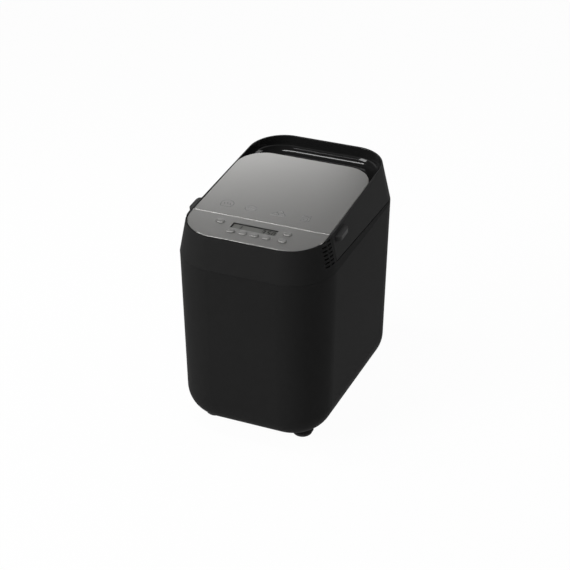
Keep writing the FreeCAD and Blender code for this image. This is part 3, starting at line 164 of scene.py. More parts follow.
class Finish:
    """A material's or the world's node tree. One method adds every node that isn't arithmetic,
    with its sockets given by name, or by number where several share a name.
    """

    def __init__(self, name, owner=None):
        self.material = owner or bpy.data.materials.new(name)
        self.material.use_nodes = True
        self.tree = self.material.node_tree
        self.tree.nodes.clear()

    def node(self, kind, settings, inputs):
        node = self.tree.nodes.new(kind)
        for name, value in settings.items():
            if name == "stops":
                self.stops(node.color_ramp, value)
            else:
                setattr(node, name, value)
        for name, value in inputs.items():
            slot = node.inputs[name]
            if isinstance(value, Value):
                self.tree.links.new(value.socket, slot)
            else:
                slot.default_value = value
        return {output.name: Value(self.tree, output) for output in node.outputs if output.enabled}

    def stops(self, ramp, stops):
        while len(ramp.elements) > 1:
            ramp.elements.remove(ramp.elements[-1])
        for index, (position, level) in enumerate(stops):
            element = ramp.elements[0] if index == 0 else ramp.elements.new(position)
            element.position = position
            element.color = shade(level)

    def coordinates(self, stretch=EVEN):
        vector = self.node("ShaderNodeTexCoord", {}, {})["Object"]
        if stretch == EVEN:
            return vector
        return self.node("ShaderNodeMapping", {}, {"Vector": vector, "Scale": stretch})["Vector"]

    def noise(self, scale, detail=2.0, stretch=EVEN):
        inputs = {"Vector": self.coordinates(stretch), "Scale": scale, "Detail": detail}
        return self.node("ShaderNodeTexNoise", {}, inputs)["Fac"]

    def cells(self, scale):
        inputs = {"Vector": self.coordinates(), "Scale": scale}
        return self.node("ShaderNodeTexVoronoi", {}, inputs)["Distance"]

    def ramp(self, value, stops):
        return self.node("ShaderNodeValToRGB", {"stops": stops}, {"Fac": value})["Color"]

    def blend(self, factor, low, high, tint=NEUTRAL):
        """A colour that goes between two levels of one tint."""
        inputs = {0: factor, 6: shade(low, tint), 7: shade(high, tint)}
        return list(self.node("ShaderNodeMix", {"data_type": "RGBA"}, inputs).values())[-1]

    def bump(self, height, strength, distance):
        inputs = {"Height": height, "Strength": strength, "Distance": distance}
        return self.node("ShaderNodeBump", {}, inputs)["Normal"]

    def surface(self, **sockets):
        inputs = {
            name.replace("_", " ").title().replace("Ior", "IOR"): value
            for name, value in sockets.items()
        }
        shader = self.node("ShaderNodeBsdfPrincipled", {}, inputs)["BSDF"]
        self.node("ShaderNodeOutputMaterial", {}, {"Surface": shader})
        return self.material


# Finishes

GRAIN_DEPTH = 0.2 * MM
PEEL_DEPTH = 0.3 * MM
UPRIGHT_GRAIN = (1, 1, 18)
CROSS_GRAIN = (18, 1, 1)
WIPED_GRAIN = (1, 6, 1)
DISPLAY_ROWS = (1, 8, 8)


def moulded_black(name, level=0.0165, roughness=0.5, gloss=0.006):
    """Satin black moulding with a fine spark-eroded grain and a faint drift of tone."""
    finish = Finish(name)
    grain = finish.noise(scale=2600, detail=2)
    drift = finish.noise(scale=9, detail=3)
    return finish.surface(
        base_color=finish.blend(drift, level * 0.92, level * 1.08),
        roughness=around(roughness, drift, 0.06),
        specular_ior_level=gloss,
        normal=finish.bump(grain, 0.10, GRAIN_DEPTH),
    )


def gloss_black(name):
    """Polished black moulding of the channel, with hairline wiping marks."""
    finish = Finish(name)
    wiping = finish.noise(scale=160, detail=4, stretch=WIPED_GRAIN)
    return finish.surface(
        base_color=finish.blend(wiping, 0.008, 0.011),
        roughness=around(0.09, wiping, 0.06),
        specular_ior_level=0.25,
    )


def grey_metallic(name, level=0.28, roughness=0.29):
    """Satin grey metallic paint with fine flake and a soft orange peel."""
    finish = Finish(name)
    flake = finish.noise(scale=5200, detail=1)
    peel = finish.noise(scale=420, detail=2)
    warm = (1, 0.99, 0.965)
    return finish.surface(
        base_color=finish.blend(flake, level * 0.86, level * 1.14, warm),
        metallic=0.8,
        roughness=around(roughness, flake, 0.06),
        normal=finish.bump(peel, 0.03, PEEL_DEPTH),
    )


def plain_metal(name, level, tint=NEUTRAL, roughness=0.32, stretch=UPRIGHT_GRAIN, metallic=1.0):
    """Drawn or plated metal with a faint directional grain."""
    finish = Finish(name)
    grain = finish.noise(scale=700, detail=3, stretch=stretch)
    return finish.surface(
        base_color=finish.blend(grain, level * 0.88, level * 1.08, tint),
        metallic=metallic,
        roughness=around(roughness, grain, 0.10),
        normal=finish.bump(grain, 0.06, GRAIN_DEPTH),
    )


def coated(name, level, tint=NEUTRAL, roughness=0.4, grain_scale=1500):
    """Moulded or coated surface: plain colour, drift and a fine grain."""
    finish = Finish(name)
    grain = finish.noise(grain_scale, detail=3)
    drift = finish.noise(scale=25, detail=2)
    return finish.surface(
        base_color=finish.blend(drift, level * 0.92, level * 1.06, tint),
        roughness=around(roughness, grain, 0.08),
        normal=finish.bump(grain, 0.12, GRAIN_DEPTH),
    )


def speckled_coating(name, level):
    """Non-stick coating: dark, slightly pebbled, with fine pale specks."""
    finish = Finish(name)
    specks = finish.ramp(finish.cells(scale=1400), ((0.0, 1.0), (0.10, 0.0)))
    pebble = finish.noise(scale=1800, detail=2)
    return finish.surface(
        base_color=finish.blend(specks, level, level * 3.5),
        roughness=around(0.39, pebble, 0.1),
        normal=finish.bump(pebble, 0.15, GRAIN_DEPTH),
    )


def lcd_glass(name):
    """The display's grey-green field under a clear cover, with its faint row pattern."""
    finish = Finish(name)
    rows = finish.noise(scale=900, detail=1, stretch=DISPLAY_ROWS)
    return finish.surface(
        base_color=finish.blend(rows, 0.112, 0.13, (1, 1.01, 0.95)),
        roughness=around(0.325, rows, 0.05),
        specular_ior_level=0.02,
    )


def lcd_ink(name):
    """The nearly black ink of the display's lit segments."""
    finish = Finish(name)
    fade = finish.noise(scale=1200, detail=1)
    return finish.surface(
        base_color=finish.blend(fade, 0.005, 0.009),
        roughness=0.5,
        specular_ior_level=0.01,
    )


def print_ink(name):
    """The top plate's faint grey print, a little worn."""
    finish = Finish(name)
    wear = finish.noise(scale=900, detail=3)
    return finish.surface(
        base_color=finish.blend(wear, 0.16, 0.21),
        metallic=0.65,
        roughness=around(0.45, wear, 0.1),
    )


# The finish of each material slot, with its settings
FINISHES = {
    "body_black": (moulded_black, {}),
    "top_grey": (grey_metallic, {}),
    "display": (lcd_glass, {}),
    "display_grey": (coated, {"level": 0.16, "tint": (1, 1.02, 0.94)}),
    "key_grey": (grey_metallic, {"level": 0.21, "roughness": 0.5}),
    "board_green": (coated, {"level": 0.12, "tint": (0.2, 1, 0.4), "roughness": 0.35}),
    "switch_black": (coated, {"level": 0.02}),
    "rubber": (coated, {"level": 0.012, "roughness": 0.75, "grain_scale": 900}),
    "base_steel": (coated, {"level": 0.02, "roughness": 0.5}),
    "zinc": (plain_metal, {"level": 0.6, "tint": (0.97, 0.98, 1)}),
    "oven_steel": (
        plain_metal,
        {"level": 0.5, "tint": (0.98, 0.98, 1), "roughness": 0.38, "metallic": 0.6},
    ),
    "heater": (plain_metal, {"level": 0.12, "tint": (1, 0.97, 0.93), "roughness": 0.5}),
    "nonstick": (speckled_coating, {"level": 0.03}),
    "aluminium": (plain_metal, {"level": 0.68, "roughness": 0.42, "stretch": EVEN}),
    "bronze": (
        plain_metal,
        {"level": 0.5, "tint": (1, 0.72, 0.38), "roughness": 0.45, "stretch": EVEN},
    ),
    "belt": (coated, {"level": 0.014, "roughness": 0.7}),
    "pulley": (coated, {"level": 0.6, "tint": (1, 0.98, 0.92), "roughness": 0.45}),
    "motor": (coated, {"level": 0.25, "tint": (0.97, 1, 1.03)}),
    "sensor": (plain_metal, {"level": 0.65}),
    "ceramic": (coated, {"level": 0.65, "tint": (1, 0.96, 0.88), "roughness": 0.55}),
    "component_black": (coated, {"level": 0.02, "roughness": 0.42}),
    "component_yellow": (coated, {"level": 0.4, "tint": (1, 0.74, 0.2), "roughness": 0.45}),
    "liner": (plain_metal, {"level": 0.66, "roughness": 0.36, "stretch": CROSS_GRAIN}),
    "gasket": (coated, {"level": 0.3, "tint": (1, 0.99, 0.97), "roughness": 0.65}),
}
finishes = {slot: make(slot, **settings) for slot, (make, settings) in FINISHES.items()}


def dress_nodes():
    """Gives every CAD node the finish of its material slot."""
    for name, slot in slots.items():
        mesh = nodes[name].data
        mesh.materials.clear()
        mesh.materials.append(finishes[slot])


# Making pieces

SAME_POINT = 0.001 * MM
SLIVER = 0.01 * MM
FLAT = math.radians(0.3)


def linked(name, data):
    item = bpy.data.objects.new(name, data)
    scene.collection.objects.link(item)
    return item


def plain_mesh(scratch):
    """The evaluated mesh of a scratch object, which is then removed."""
    depsgraph = bpy.context.evaluated_depsgraph_get()
    mesh = bpy.data.meshes.new_from_object(scratch.evaluated_get(depsgraph))
    bpy.data.objects.remove(scratch)
    return mesh


def seat(name, mesh, body, replaced=()):
    """Makes a finished piece that rides on a body and stands for CAD nodes."""
    mesh.name = name
    piece = linked(name, mesh)
    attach(piece, body)
    if replaced:
        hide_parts(*replaced)
    return piece


def opened(mesh):
    """A mesh opened for editing."""
    form = bmesh.new()
    form.from_mesh(mesh)
    return form


def closed(form, mesh):
    """Writes what was edited into a mesh, and gives that mesh."""
    form.to_mesh(mesh)
    form.free()
    return mesh


def merged(mesh):
    """A CAD node's mesh opened for editing, its loose triangles joined at their corners."""
    form = opened(mesh)
    bmesh.ops.remove_doubles(form, verts=form.verts, dist=SAME_POINT)
    return form


def joined_copy(node):
    """A copy of a CAD node's mesh with its triangles joined into flat faces."""
    mesh = nodes[node].data.copy()
    form = merged(mesh)
    bmesh.ops.dissolve_limit(form, angle_limit=FLAT, verts=form.verts, edges=form.edges)
    for face in form.faces:
        face.smooth = True
    return closed(form, mesh)


def weigh_edges(mesh, chosen, sharp):
    """Marks the edges sharper than an angle, and those to be rounded among them."""
    mesh.attributes.new("bevel_weight_edge", "FLOAT", "EDGE")
    form = opened(mesh)
    weight = form.edges.layers.float["bevel_weight_edge"]
    for edge in form.edges:
        if len(edge.link_faces) == 2 and edge.calc_face_angle() > math.radians(sharp):
            edge[weight] = float(chosen(edge))
            edge.smooth = False
    closed(form, mesh)


def softened(name, node, width, chosen=lambda edge: True, sharp=36):
    """A piece in the shape of a CAD node whose chosen sharp edges are rounded."""
    scratch = linked(f"{name}_scratch", joined_copy(node))
    weigh_edges(scratch.data, chosen, sharp)
    bevel = scratch.modifiers.new("round", "BEVEL")
    bevel.limit_method = "WEIGHT"
    bevel.width = width
    bevel.segments = 2
    bevel.harden_normals = True
    bevel.use_clamp_overlap = False
    mesh = plain_mesh(scratch)
    form = opened(mesh)
    bmesh.ops.dissolve_degenerate(form, dist=SLIVER, edges=form.edges)
    return seat(name, closed(form, mesh), bodies[node], (node,))


def skin(form, levels, ring_shut=False):
    """Adds faces from each ring of points to the next, and gives the rings' vertices."""
    rings = [[form.verts.new(point) for point in ring] for ring in levels]
    followers = rings[1:] + rings[:1] if ring_shut else rings[1:]
    for lower, upper in zip(rings, followers):
        for i in range(len(lower)):
            k = (i + 1) % len(lower)
            form.faces.new((lower[i], lower[k], upper[k], upper[i]))
    return rings


def raised(ring, level):
    return [point + Vector((0, 0, level)) for point in ring]


def rounded_ring(length, width, corner, steps=6):
    """Points of a rounded rectangle, anticlockwise."""
    ring = []
    for quarter, (sx, sy) in enumerate(((1, -1), (1, 1), (-1, 1), (-1, -1))):
        centre = Vector((sx * (length / 2 - corner), sy * (width / 2 - corner), 0))
        for step in range(steps + 1):
            angle = math.radians(90 * (quarter - 1 + step / steps))
            ring.append(centre + Vector((math.cos(angle), math.sin(angle), 0)) * corner)
    return ring


# Frame and lid

# Where the lid's regions end: the plate's seat, the channel, the hinge and the grips
PLATE_LOW, PLATE_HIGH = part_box("lid_plate")
PLATE_SEAT = 1.2 * MM
CHANNEL_WIDTH = 25 * MM
CHANNEL_TOP = 0.3 * MM
CHANNEL_EDGE = 0.6 * MM
HINGE_HALF = 78 * MM
HINGE_FRONT = 160 * MM
GRIP_SIDE = 116.2 * MM
GRIP_DEPTH = 15.5 * MM
# Rounded edges: least angle in degrees, width, and distance from the top face
COVER_SHARP = 50
FRAME_ROUND = 0.4 * MM
LID_ROUND = 0.7 * MM
FACE_BAND = 0.4 * MM
# How far a face's normal points outwards or up, from -1 to 1
FACES_OUT = 0.5
FACES_IN = 0.2
FACES_DOWN = -0.3


def middle_of(edge):
    return (edge.verts[0].co + edge.verts[1].co) / 2


def near_face(edge):
    """True for edges that lie in the sloping top face."""
    return abs(top.read(middle_of(edge)).z) < FACE_BAND


def lid_edges(edge):
    """True for edges in the top face, and for those of the lid's walls that face outwards."""
    if near_face(edge):
        return True
    spot = middle_of(edge)
    behind_plate = spot.y > PLATE_HIGH.y + CHANNEL_WIDTH
    if abs(spot.x) < PLATE_HIGH.x + PLATE_SEAT and not behind_plate:
        return False
    if abs(spot.x) < HINGE_HALF and spot.y > HINGE_FRONT:
        return False
    outward = Vector((spot.x, spot.y, 0)).normalized()
    return any(face.normal.dot(outward) >= FACES_OUT for face in edge.link_faces)


def in_channel(face):
    """True for faces of the channel round the top plate."""
    spot = face.center
    if top.read(spot).z > -CHANNEL_TOP or face.normal.z < FACES_DOWN:
        return False
    beside_plate = abs(spot.x) < PLATE_HIGH.x + CHANNEL_EDGE
    if beside_plate and PLATE_LOW.y < spot.y < PLATE_HIGH.y + CHANNEL_EDGE:
        return True
    outward = Vector((spot.x, spot.y - (PLATE_LOW.y + PLATE_HIGH.y) / 2, 0)).normalized()
    return face.normal.dot(outward) < FACES_IN


def on_grip(face):
    """True for faces of the two finger grips that stand out from the lid's sides."""
    return abs(face.center.x) > GRIP_SIDE and top.read(face.center).z > -GRIP_DEPTH


# The lid's finishes, in the order of its mesh's materials; the wall's finish carries painted light
# and the grips' a painted highlight
LID_WALL_PAINTED_LIGHT, LID_CHANNEL, LID_GRIP_PAINTED_HIGHLIGHT = range(3)


def lid_finish(face):
    if on_grip(face):
        return LID_GRIP_PAINTED_HIGHLIGHT
    return LID_CHANNEL if in_channel(face) else LID_WALL_PAINTED_LIGHT


def make_covers():
    """The frame and lid, edges eased, with satin grips and a polished channel on the lid. The
    frame and the lid's walls are painted lighter than the body's black as painted light, and the
    grips lighter still as a painted highlight.
    """
    rim = softened("upper_frame", "top_frame", FRAME_ROUND, near_face, COVER_SHARP)
    # painted light: the frame's black is painted a little lighter than the body's
    rim.data.materials[0] = moulded_black("frame_painted_light", level=0.0178)
    lid = softened("lid_cover", "lid_shell", LID_ROUND, lid_edges, COVER_SHARP)
    lid.data.materials.clear()
    for material in (
        # painted light: the lid's walls are painted lighter than the body's black, standing for
        # light falling from above
        moulded_black("lid_painted_light", level=0.029),
        gloss_black("trough_gloss"),
        # painted highlight: the grips are painted lighter still; their extra gloss is real
        moulded_black("grip_painted_highlight", level=0.031, roughness=0.45, gloss=0.05),
    ):
        lid.data.materials.append(material)
    for face in lid.data.polygons:
        face.material_index = lid_finish(face)


# Keys

KEYS = (
    "menu_button",
    "size_button",
    "crust_button",
    "timer_down_button",
    "timer_up_button",
    "start_button",
    "stop_button",
)
KEY_CAP_DEPTH = 1 * MM
KEY_CORNER = 4.0 * MM
KEY_LEAST_CORNER = 0.1 * MM
# Inset from the key's outline and rise off the panel, in mm
KEY_DOME = (
    (0.0, -3.2),
    (0.0, 0.35),
    (0.18, 0.75),
    (0.6, 1.08),
    (1.3, 1.3),
    (2.2, 1.42),
    (3.2, 1.48),
    (3.9, 1.5),
)


def lofted(levels):
    """A closed smooth mesh through rings of equal count, capped at both ends."""
    form = bmesh.new()
    rings = skin(form, levels)
    form.faces.new(list(reversed(rings[0])))
    form.faces.new(rings[-1])
    for face in form.faces:
        face.smooth = True
    return closed(form, bpy.data.meshes.new("loft"))


def make_keys():
    """Seven soft domed pads that stand a little proud of the panel."""
    for node in KEYS:
        low, high = top.span(node)
        cap = [spot for spot in top.spots(node) if spot.z > -KEY_CAP_DEPTH]
        length = max(spot.x for spot in cap) - min(spot.x for spot in cap)
        width = max(spot.y for spot in cap) - min(spot.y for spot in cap)
        levels = []
        for inset, rise in KEY_DOME:
            inset *= MM
            corner = max(KEY_CORNER - inset, KEY_LEAST_CORNER)
            ring = rounded_ring(length - 2 * inset, width - 2 * inset, corner)
            levels.append(raised(ring, rise * MM))
        mesh = lofted(levels)
        mesh.materials.append(finishes["key_grey"])
        mesh.transform(top.matrix((low.x + high.x) / 2, (low.y + high.y) / 2, 0))
        seat(node.replace("button", "pad"), mesh, bodies[node], (node,))


# Geometry Nodes

class NodeShape:
    """A Geometry Nodes tree with named inputs, ending in realised geometry of one material."""

    KINDS = {
        "size": "NodeSocketFloat",
        "object": "NodeSocketObject",
        "material": "NodeSocketMaterial",
    }

    def __init__(self, name, inputs):
        self.tree = bpy.data.node_groups.new(name, "GeometryNodeTree")
        face = self.tree.interface
        face.new_socket("Geometry", in_out="INPUT", socket_type="NodeSocketGeometry")
        self.names = {
            label: face.new_socket(label, in_out="INPUT", socket_type=self.KINDS[kind]).identifier
            for label, kind in inputs.items()
        }
        face.new_socket("Geometry", in_out="OUTPUT", socket_type="NodeSocketGeometry")
        self.entry = self.tree.nodes.new("NodeGroupInput").outputs

    def node(self, kind, settings, inputs):
        node = self.tree.nodes.new(kind)
        for name, value in settings.items():
            setattr(node, name, value)
        for name, value in inputs.items():
            if isinstance(value, bpy.types.NodeSocket):
                self.tree.links.new(value, node.inputs[name])
            else:
                node.inputs[name].default_value = value
        return node.outputs

    def at_points(self, shape, tilt):
        """Copies of a shape at the entering points, tilted about x and turned by each point."""
        settings, inputs = {"data_type": "FLOAT"}, {"Name": "turn"}
        turn = self.node("GeometryNodeInputNamedAttribute", settings, inputs)["Attribute"]
        turn = self.node("ShaderNodeCombineXYZ", {}, {"X": tilt, "Z": turn})["Vector"]
        inputs = {"Points": self.entry["Geometry"], "Instance": shape, "Rotation": turn}
        return self.node("GeometryNodeInstanceOnPoints", {}, inputs)["Instances"]

    def close(self, shape, material):
        real = self.node("GeometryNodeRealizeInstances", {}, {"Geometry": shape})["Geometry"]
        inputs = {"Geometry": real, "Material": material}
        painted = self.node("GeometryNodeSetMaterial", {}, inputs)["Geometry"]
        self.tree.links.new(painted, self.tree.nodes.new("NodeGroupOutput").inputs[0])

    def grow(self, data, values):
        """The plain mesh, in its one material, that the tree makes from a mesh or curve."""
        scratch = linked("scratch", data)
        modifier = scratch.modifiers.new("shape", "NODES")
        modifier.node_group = self.tree
        for label, value in values.items():
            modifier[self.names[label]] = value
        mesh = plain_mesh(scratch)
        used = [material for material in mesh.materials if material]
        mesh.materials.clear()
        mesh.materials.append(used[0])
        mesh.polygons.foreach_set("material_index", [0] * len(mesh.polygons))
        return mesh


def turned_points(points, turns):
    """A mesh of loose points, each with the angle that its copy is turned by."""
    mesh = bpy.data.meshes.new("points")
    mesh.from_pydata(points, [], [])
    mesh.attributes.new("turn", "FLOAT", "POINT").data.foreach_set("value", turns)
    return mesh


# Display

# Each segment's place across in digit widths and up in half heights, and whether it is upright
SEGMENTS = {
    "top": (0, 1, 0),
    "middle": (0, 0, 0),
    "base": (0, -1, 0),
    "upper_left": (-0.5, 0.5, 1),
    "upper_right": (0.5, 0.5, 1),
    "lower_left": (-0.5, -0.5, 1),
    "lower_right": (0.5, -0.5, 1),
}
LIT = {
    "0": ("top", "base", "upper_left", "upper_right", "lower_left", "lower_right"),
    "1": ("upper_right", "lower_right"),
    "3": ("top", "middle", "base", "upper_right", "lower_right"),
    "5": ("top", "middle", "base", "upper_left", "lower_right"),
}
DIGITS = (("1", -23.0 * MM), ("3", 14.5 * MM), ("5", 23.4 * MM), ("0", 30.4 * MM))
DIGIT_WIDTH = 3.8 * MM
DIGIT_HALF = 4.2 * MM
DIGIT_SLOPE = 0.1  # across for each step up
SEGMENT_SIZE = {"Length": 4.2 * MM, "Width": 1.7 * MM, "Height": 0.04 * MM}
INK_RISE = 0.02 * MM
WINDOW_ROUND = 0.2 * MM
WINDOW_LIP = 2.5 * MM

# The surround: insets from the opening's wall, and levels off the panel's face
BEZEL_GAP = 0.02 * MM
BEZEL_CREST = 0.3 * MM
BEZEL_WALL = 0.9 * MM
BEZEL_TOP = -0.2 * MM
BEZEL_RISE = 0.1 * MM
BEZEL_CORNER = 0.5 * MM
BEZEL_FOOT = 0.01 * MM


def segment_tree():
    inputs = {"Length": "size", "Width": "size", "Height": "size", "Ink": "material"}
    shape = NodeShape("lcd_segments", inputs)
    entry = shape.entry
    size = {"X": entry["Length"], "Y": entry["Width"], "Z": entry["Height"]}
    size = shape.node("ShaderNodeCombineXYZ", {}, size)["Vector"]
    bar = shape.node("GeometryNodeMeshCube", {}, {"Size": size})["Mesh"]
    shape.close(shape.at_points(bar, tilt=0), entry["Ink"])
    return shape


def make_display():
    """The display field and its digits."""
    low, high = top.span("display_window")
    middle = (low + high) / 2
    softened("display_face", "display_window", WINDOW_ROUND)
    points, turns = [], []
    for digit, x in DIGITS:
        for name in LIT[digit]:
            across, up, upright = SEGMENTS[name]
            lean = up * DIGIT_HALF * DIGIT_SLOPE
            points.append(Vector((x + across * DIGIT_WIDTH + lean, up * DIGIT_HALF, 0)))
            turns.append(upright * (math.pi / 2 - DIGIT_SLOPE))
    values = {**SEGMENT_SIZE, "Ink": lcd_ink("lcd_ink")}
    mesh = segment_tree().grow(turned_points(points, turns), values)
    mesh.transform(top.matrix(middle.x, middle.y, high.z + INK_RISE))
    seat("display_digits", mesh, "housing")


def make_bezel():
    """A thin black surround that lines the opening over the display."""
    low, high = top.span("display_window")
    middle = (low + high) / 2
    length, width = high.x - low.x - 2 * WINDOW_LIP, high.y - low.y - 2 * WINDOW_LIP
    foot = high.z + BEZEL_FOOT
    levels = []
    for inset, level in (
        (BEZEL_GAP, foot),
        (BEZEL_GAP, BEZEL_TOP),
        (BEZEL_CREST, BEZEL_TOP + BEZEL_RISE),
        (BEZEL_WALL, BEZEL_TOP),
        (BEZEL_WALL, foot),
    ):
        ring = rounded_ring(length - 2 * inset, width - 2 * inset, BEZEL_CORNER, steps=3)
        levels.append(raised(ring, level))
    form = bmesh.new()
    skin(form, levels, ring_shut=True)
    mesh = closed(form, bpy.data.meshes.new("bezel"))
    mesh.materials.append(finishes["switch_black"])
    mesh.transform(top.matrix(middle.x, middle.y, 0))
    seat("display_bezel", mesh, "housing")


# Printed marks on the top plate

def arc(x, y, radius_x, radius_y, start, end, steps=14):
    """Points along part of an ellipse."""
    turns = [math.radians(start + (end - start) * i / steps) for i in range(steps + 1)]
    return [(x + radius_x * math.cos(turn), y + radius_y * math.sin(turn)) for turn in turns]


# Each mark's place across the plate and its strokes, in mm
MARKS = {
    "loaf": (-69, (
        [(-7, -5), *arc(0, 1, 8.5, 6, 205, -25), (7, -5), (-7, -5)],
        [(-4.6, 2.2), (-3.2, -1)],
        [(-0.7, 3), (0.7, -0.2)],
        [(3.2, 2.2), (4.6, -1)],
    )),
    "bowl": (-29, (
        [(-8, 0), (8, 0)],
        arc(0, 0, 7.5, 6, 180, 360),
        arc(0, 0.5, 6, 4.5, 165, 15),
    )),
    "buns": (17, (
        arc(-4.5, -3.5, 4.5, 4.5, 0, 180),
        arc(4.5, -3.5, 4.5, 4.5, 0, 180),
        arc(0, 2.2, 4.2, 3.4, -20, 200),
        [(-9.5, -3.7), (9.5, -3.7)],
    )),
    "jar": (60, (
        [(-5, 3), (-5.5, 1), (-5.5, -5), (5.5, -5), (5.5, 1), (5, 3), (-5, 3)],
        [(-4.6, 4), (4.6, 4), (4.6, 6), (-4.6, 6), (-4.6, 4)],
        arc(0, -1.6, 2.6, 2.2, 0, 360),
    )),
}
MARK_WIDEN = 1.2
MARK_HEIGHTEN = 1.5
MARK_ROW = 30 * MM
STROKE_SIZE = {"Width": 1.5 * MM, "Thickness": 0.05 * MM}


def stroke_tree():
    inputs = {"Width": "size", "Thickness": "size", "Ink": "material"}
    shape = NodeShape("printed_strokes", inputs)
    entry = shape.entry
    size = {"Width": entry["Width"], "Height": entry["Thickness"]}
    band = shape.node("GeometryNodeCurvePrimitiveQuadrilateral", {}, size)["Curve"]
    inputs = {"Curve": entry["Geometry"], "Profile Curve": band, "Fill Caps": True}
    shape.close(shape.node("GeometryNodeCurveToMesh", {}, inputs)["Mesh"], entry["Ink"])
    return shape


def make_marks():
    """Faint generic pictograms in a row near the front of the top plate."""
    curve = bpy.data.curves.new("marks", "CURVE")
    curve.dimensions = "3D"
    for x, strokes in MARKS.values():
        for stroke in strokes:
            spline = curve.splines.new("POLY")
            spline.points.add(len(stroke) - 1)
            for point, (across, up) in zip(spline.points, stroke):
                place = (x + across * MARK_WIDEN, up * MARK_HEIGHTEN)
                point.co = (place[0] * MM, place[1] * MM, 0, 1)
    mesh = stroke_tree().grow(curve, {**STROKE_SIZE, "Ink": print_ink("print_ink")})
    front = top.span("lid_plate")[0].y
    mesh.transform(top.matrix(0, front + MARK_ROW, INK_RISE))
    seat("plate_marks", mesh, "lid")


# Screws

SCREW_SIDES = 24
SCREW_RADIUS = 3.5 * MM
SCREW_RISE = 2.0 * MM
SCREW_SHANK = 1.7 * MM
SCREW_LENGTH = 8.8 * MM
SCREW_TURN = 0.7  # radians, from each screw to the next
# The head's outline above its rim, as shares of its radius and rise
SCREW_DOME = ((1, 0), (1, 0.35), (0.9, 0.72), (0.7, 0.95))
RECESS_ARM = 0.55 * SCREW_RADIUS
RECESS_HALF = 0.16 * SCREW_RADIUS
RECESS_FLOOR = 0.35 * SCREW_RISE


def circle(radius, level):
    turns = [2 * math.pi * (i + 0.5) / SCREW_SIDES for i in range(SCREW_SIDES)]
    return [Vector((radius * math.cos(turn), radius * math.sin(turn), level)) for turn in turns]


def cross(level):
    """Outline of the screw's cross recess."""
    arm, half = RECESS_ARM, RECESS_HALF
    corners = [(arm, -half), (arm, half), (half, half), (half, arm), (-half, arm), (-half, half)]
    corners += [(-x, -y) for x, y in corners]
    return [Vector((x, y, level)) for x, y in corners]


def edges_round(form, ring):
    """The edges of a ring of vertices, made where they are missing."""
    pairs = [(ring[i - 1], ring[i]) for i in range(len(ring))]
    return [form.edges.get(pair) or form.edges.new(pair) for pair in pairs]


def screw_mesh():
    """A domed head with a cross recess on a plain shank, pointing up."""
    form = bmesh.new()
    levels = [circle(SCREW_SHANK, -SCREW_LENGTH), circle(SCREW_SHANK, 0)]
    levels += [circle(SCREW_RADIUS * wide, SCREW_RISE * high) for wide, high in SCREW_DOME]
    rings = skin(form, levels)
    form.faces.new(list(reversed(rings[0])))
    mouth = [form.verts.new(point) for point in cross(SCREW_RISE)]
    well = [form.verts.new(point) for point in cross(RECESS_FLOOR)]
    mouth_edges, well_edges = edges_round(form, mouth), edges_round(form, well)
    bmesh.ops.bridge_loops(form, edges=edges_round(form, rings[-1]) + mouth_edges)
    bmesh.ops.bridge_loops(form, edges=mouth_edges + well_edges)
    form.faces.new(well)
    bmesh.ops.recalc_face_normals(form, faces=form.faces)
    return closed(form, bpy.data.meshes.new("screw"))


def screw_tree():
    shape = NodeShape("screw_set", {"Screw": "object", "Plating": "material"})
    entry = shape.entry
    inputs = {"Object": entry["Screw"]}
    screw = shape.node("GeometryNodeObjectInfo", {}, inputs)["Geometry"]
    shape.close(shape.at_points(screw, tilt=math.pi), entry["Plating"])
    return shape


def islands(node):
    """The separate solids of a CAD node, as lists of points, in a fixed order."""
    form = merged(nodes[node].data)
    left, found = set(form.verts), []
    while left:
        wave, part = [left.pop()], []
        while wave:
            vertex = wave.pop()
            part.append(vertex.co.copy())
            near = {edge.other_vert(vertex) for edge in vertex.link_edges} & left
            left -= near
            wave += near
        found.append(sorted(part, key=tuple))
    form.free()
    return sorted(found, key=lambda part: tuple(part[0]))


def make_screws():
    """Cross-recess screws, heads down, under the base and under the lid."""
    pattern = linked("screw_pattern", screw_mesh())
    tree = screw_tree()
    for name, node in (("base_screw_heads", "base_screws"), ("lid_screw_heads", "lid_screws")):
        points, turns = [], []
        for index, part in enumerate(islands(node)):
            middle = sum(part, Vector()) / len(part)
            rim = min(point.z for point in part) + SCREW_RISE
            points.append(Vector((middle.x, middle.y, rim)))
            turns.append(SCREW_TURN * index)
        values = {"Screw": pattern, "Plating": finishes["zinc"]}
        mesh = tree.grow(turned_points(points, turns), values)
        seat(name, mesh, bodies[node], (node,))
    bpy.data.objects.remove(pattern)


# Smaller pieces

# Each piece's CAD node and the width of its rounded edges
ROUNDED = {
    "pan_tub": ("bread_pan", 0.4 * MM),
    "pan_bail": ("pan_handle", 0.5 * MM),
    "paddle_blade": ("kneading_paddle", 0.8 * MM),
    "cord_bush": ("cord_gland", 0.5 * MM),
}


def make_edges():
    """Rounds the edges of the smaller pieces that show with the lid open or from behind."""
    for name, (node, width) in ROUNDED.items():
        softened(name, node, width)


# Stage, light and camera

FLOOR_SIZE = 30
FLOOR_TONE = 0.85
FLOOR_GLOW = 0.97
SKY = ((0.0, 1.0), (0.18, 1.0), (0.3, 0.06), (1.0, 0.06))
LAMPS = {
    "plate_softbox": {
        "place": (-0.47, 0.85, 0.70),
        "aim": (0, 0.03, 0.36),
        "size": (0.46, 0.4),
        "power": 1.66,
    },
    "overhead_strip": {
        "place": (-0.44, -0.22, 1.7),
        "aim": (-0.44, 0.05, 0.3),
        "size": (0.9, 0.22),
        "power": 12,
    },
    "key_softbox": {
        "place": (-1.65, -1.95, 1.6),
        "aim": (0, 0, 0.2),
        "size": (1.2, 1.2),
        "power": 56,
    },
    "side_softbox": {
        "place": (2.2, 1.27, 1.6),
        "aim": (0, 0, 0.2),
        "size": (1.2, 1.2),
        "power": 18,
    },
}


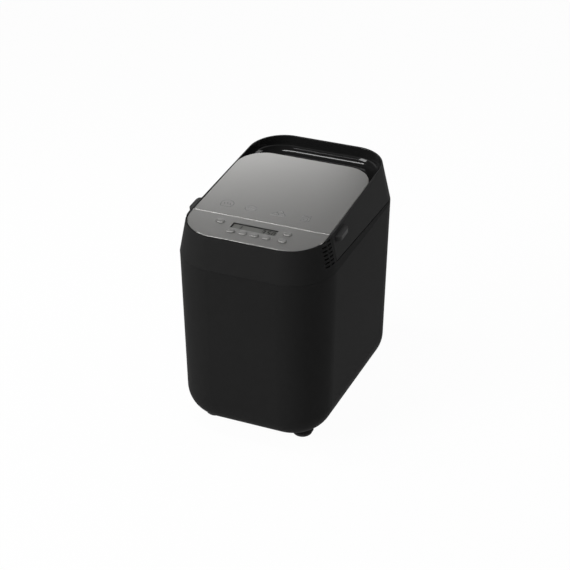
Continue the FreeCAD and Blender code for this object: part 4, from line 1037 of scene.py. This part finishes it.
def make_stage():
    """A pale floor that looks white to the camera and in reflections."""
    bpy.ops.mesh.primitive_plane_add(size=FLOOR_SIZE)
    floor = bpy.context.object
    floor.name = "floor"
    finish = Finish("pale_floor")
    path = finish.node("ShaderNodeLightPath", {}, {})
    seen = path["Is Camera Ray"] + path["Is Glossy Ray"] + path["Is Transmission Ray"]
    diffuse = finish.node("ShaderNodeBsdfDiffuse", {}, {"Color": shade(FLOOR_TONE)})["BSDF"]
    inputs = {"Color": shade(1.0), "Strength": 1.0}
    glow = finish.node("ShaderNodeEmission", {}, inputs)["Emission"]
    inputs = {0: seen * FLOOR_GLOW, 1: diffuse, 2: glow}
    mixed = finish.node("ShaderNodeMixShader", {}, inputs)["Shader"]
    finish.node("ShaderNodeOutputMaterial", {}, {"Surface": mixed})
    floor.data.materials.append(finish.material)


def make_world():
    """A white horizon under a dim ceiling, the same for every ray."""
    scene.world = bpy.data.worlds.new("studio")
    sky = Finish("studio", scene.world)
    way = sky.node("ShaderNodeTexCoord", {}, {})["Generated"]
    height = sky.node("ShaderNodeSeparateXYZ", {}, {"Vector": way})["Z"]
    inputs = {"Color": sky.ramp(height, SKY), "Strength": 1.0}
    light = sky.node("ShaderNodeBackground", {}, inputs)["Background"]
    sky.node("ShaderNodeOutputWorld", {}, {"Surface": light})


def area_light(name, place, aim, size, power):
    data = bpy.data.lights.new(name, "AREA")
    data.shape = "RECTANGLE"
    data.size, data.size_y = size
    data.energy = power
    lamp = linked(name, data)
    lamp.visible_camera = False
    lamp.location = place
    lamp.rotation_euler = (Vector(aim) - Vector(place)).to_track_quat("-Z", "Y").to_euler()


def make_lights():
    for name, lamp in LAMPS.items():
        area_light(name, **lamp)


def make_camera():
    right = Vector((math.cos(CAMERA_AZIMUTH), math.sin(CAMERA_AZIMUTH), 0))
    level_back = Vector((math.sin(CAMERA_AZIMUTH), -math.cos(CAMERA_AZIMUTH), 0))
    rise = Vector((0, 0, math.sin(CAMERA_ELEVATION)))
    back = level_back * math.cos(CAMERA_ELEVATION) + rise
    up = back.cross(right)
    data = bpy.data.cameras.new("camera")
    data.lens = CAMERA_LENS
    data.sensor_width = CAMERA_SENSOR
    data.shift_x, data.shift_y = CAMERA_SHIFT
    camera = linked("camera", data)
    turn = Matrix((right, up, back)).transposed().to_4x4()
    camera.matrix_world = Matrix.Translation(CAMERA_TARGET + back * CAMERA_DISTANCE) @ turn
    scene.camera = camera


dress_nodes()
make_covers()
make_keys()
make_display()
make_bezel()
make_marks()
make_screws()
make_edges()
make_stage()
make_world()
make_lights()
make_camera()
scene.view_settings.view_transform = "Standard"
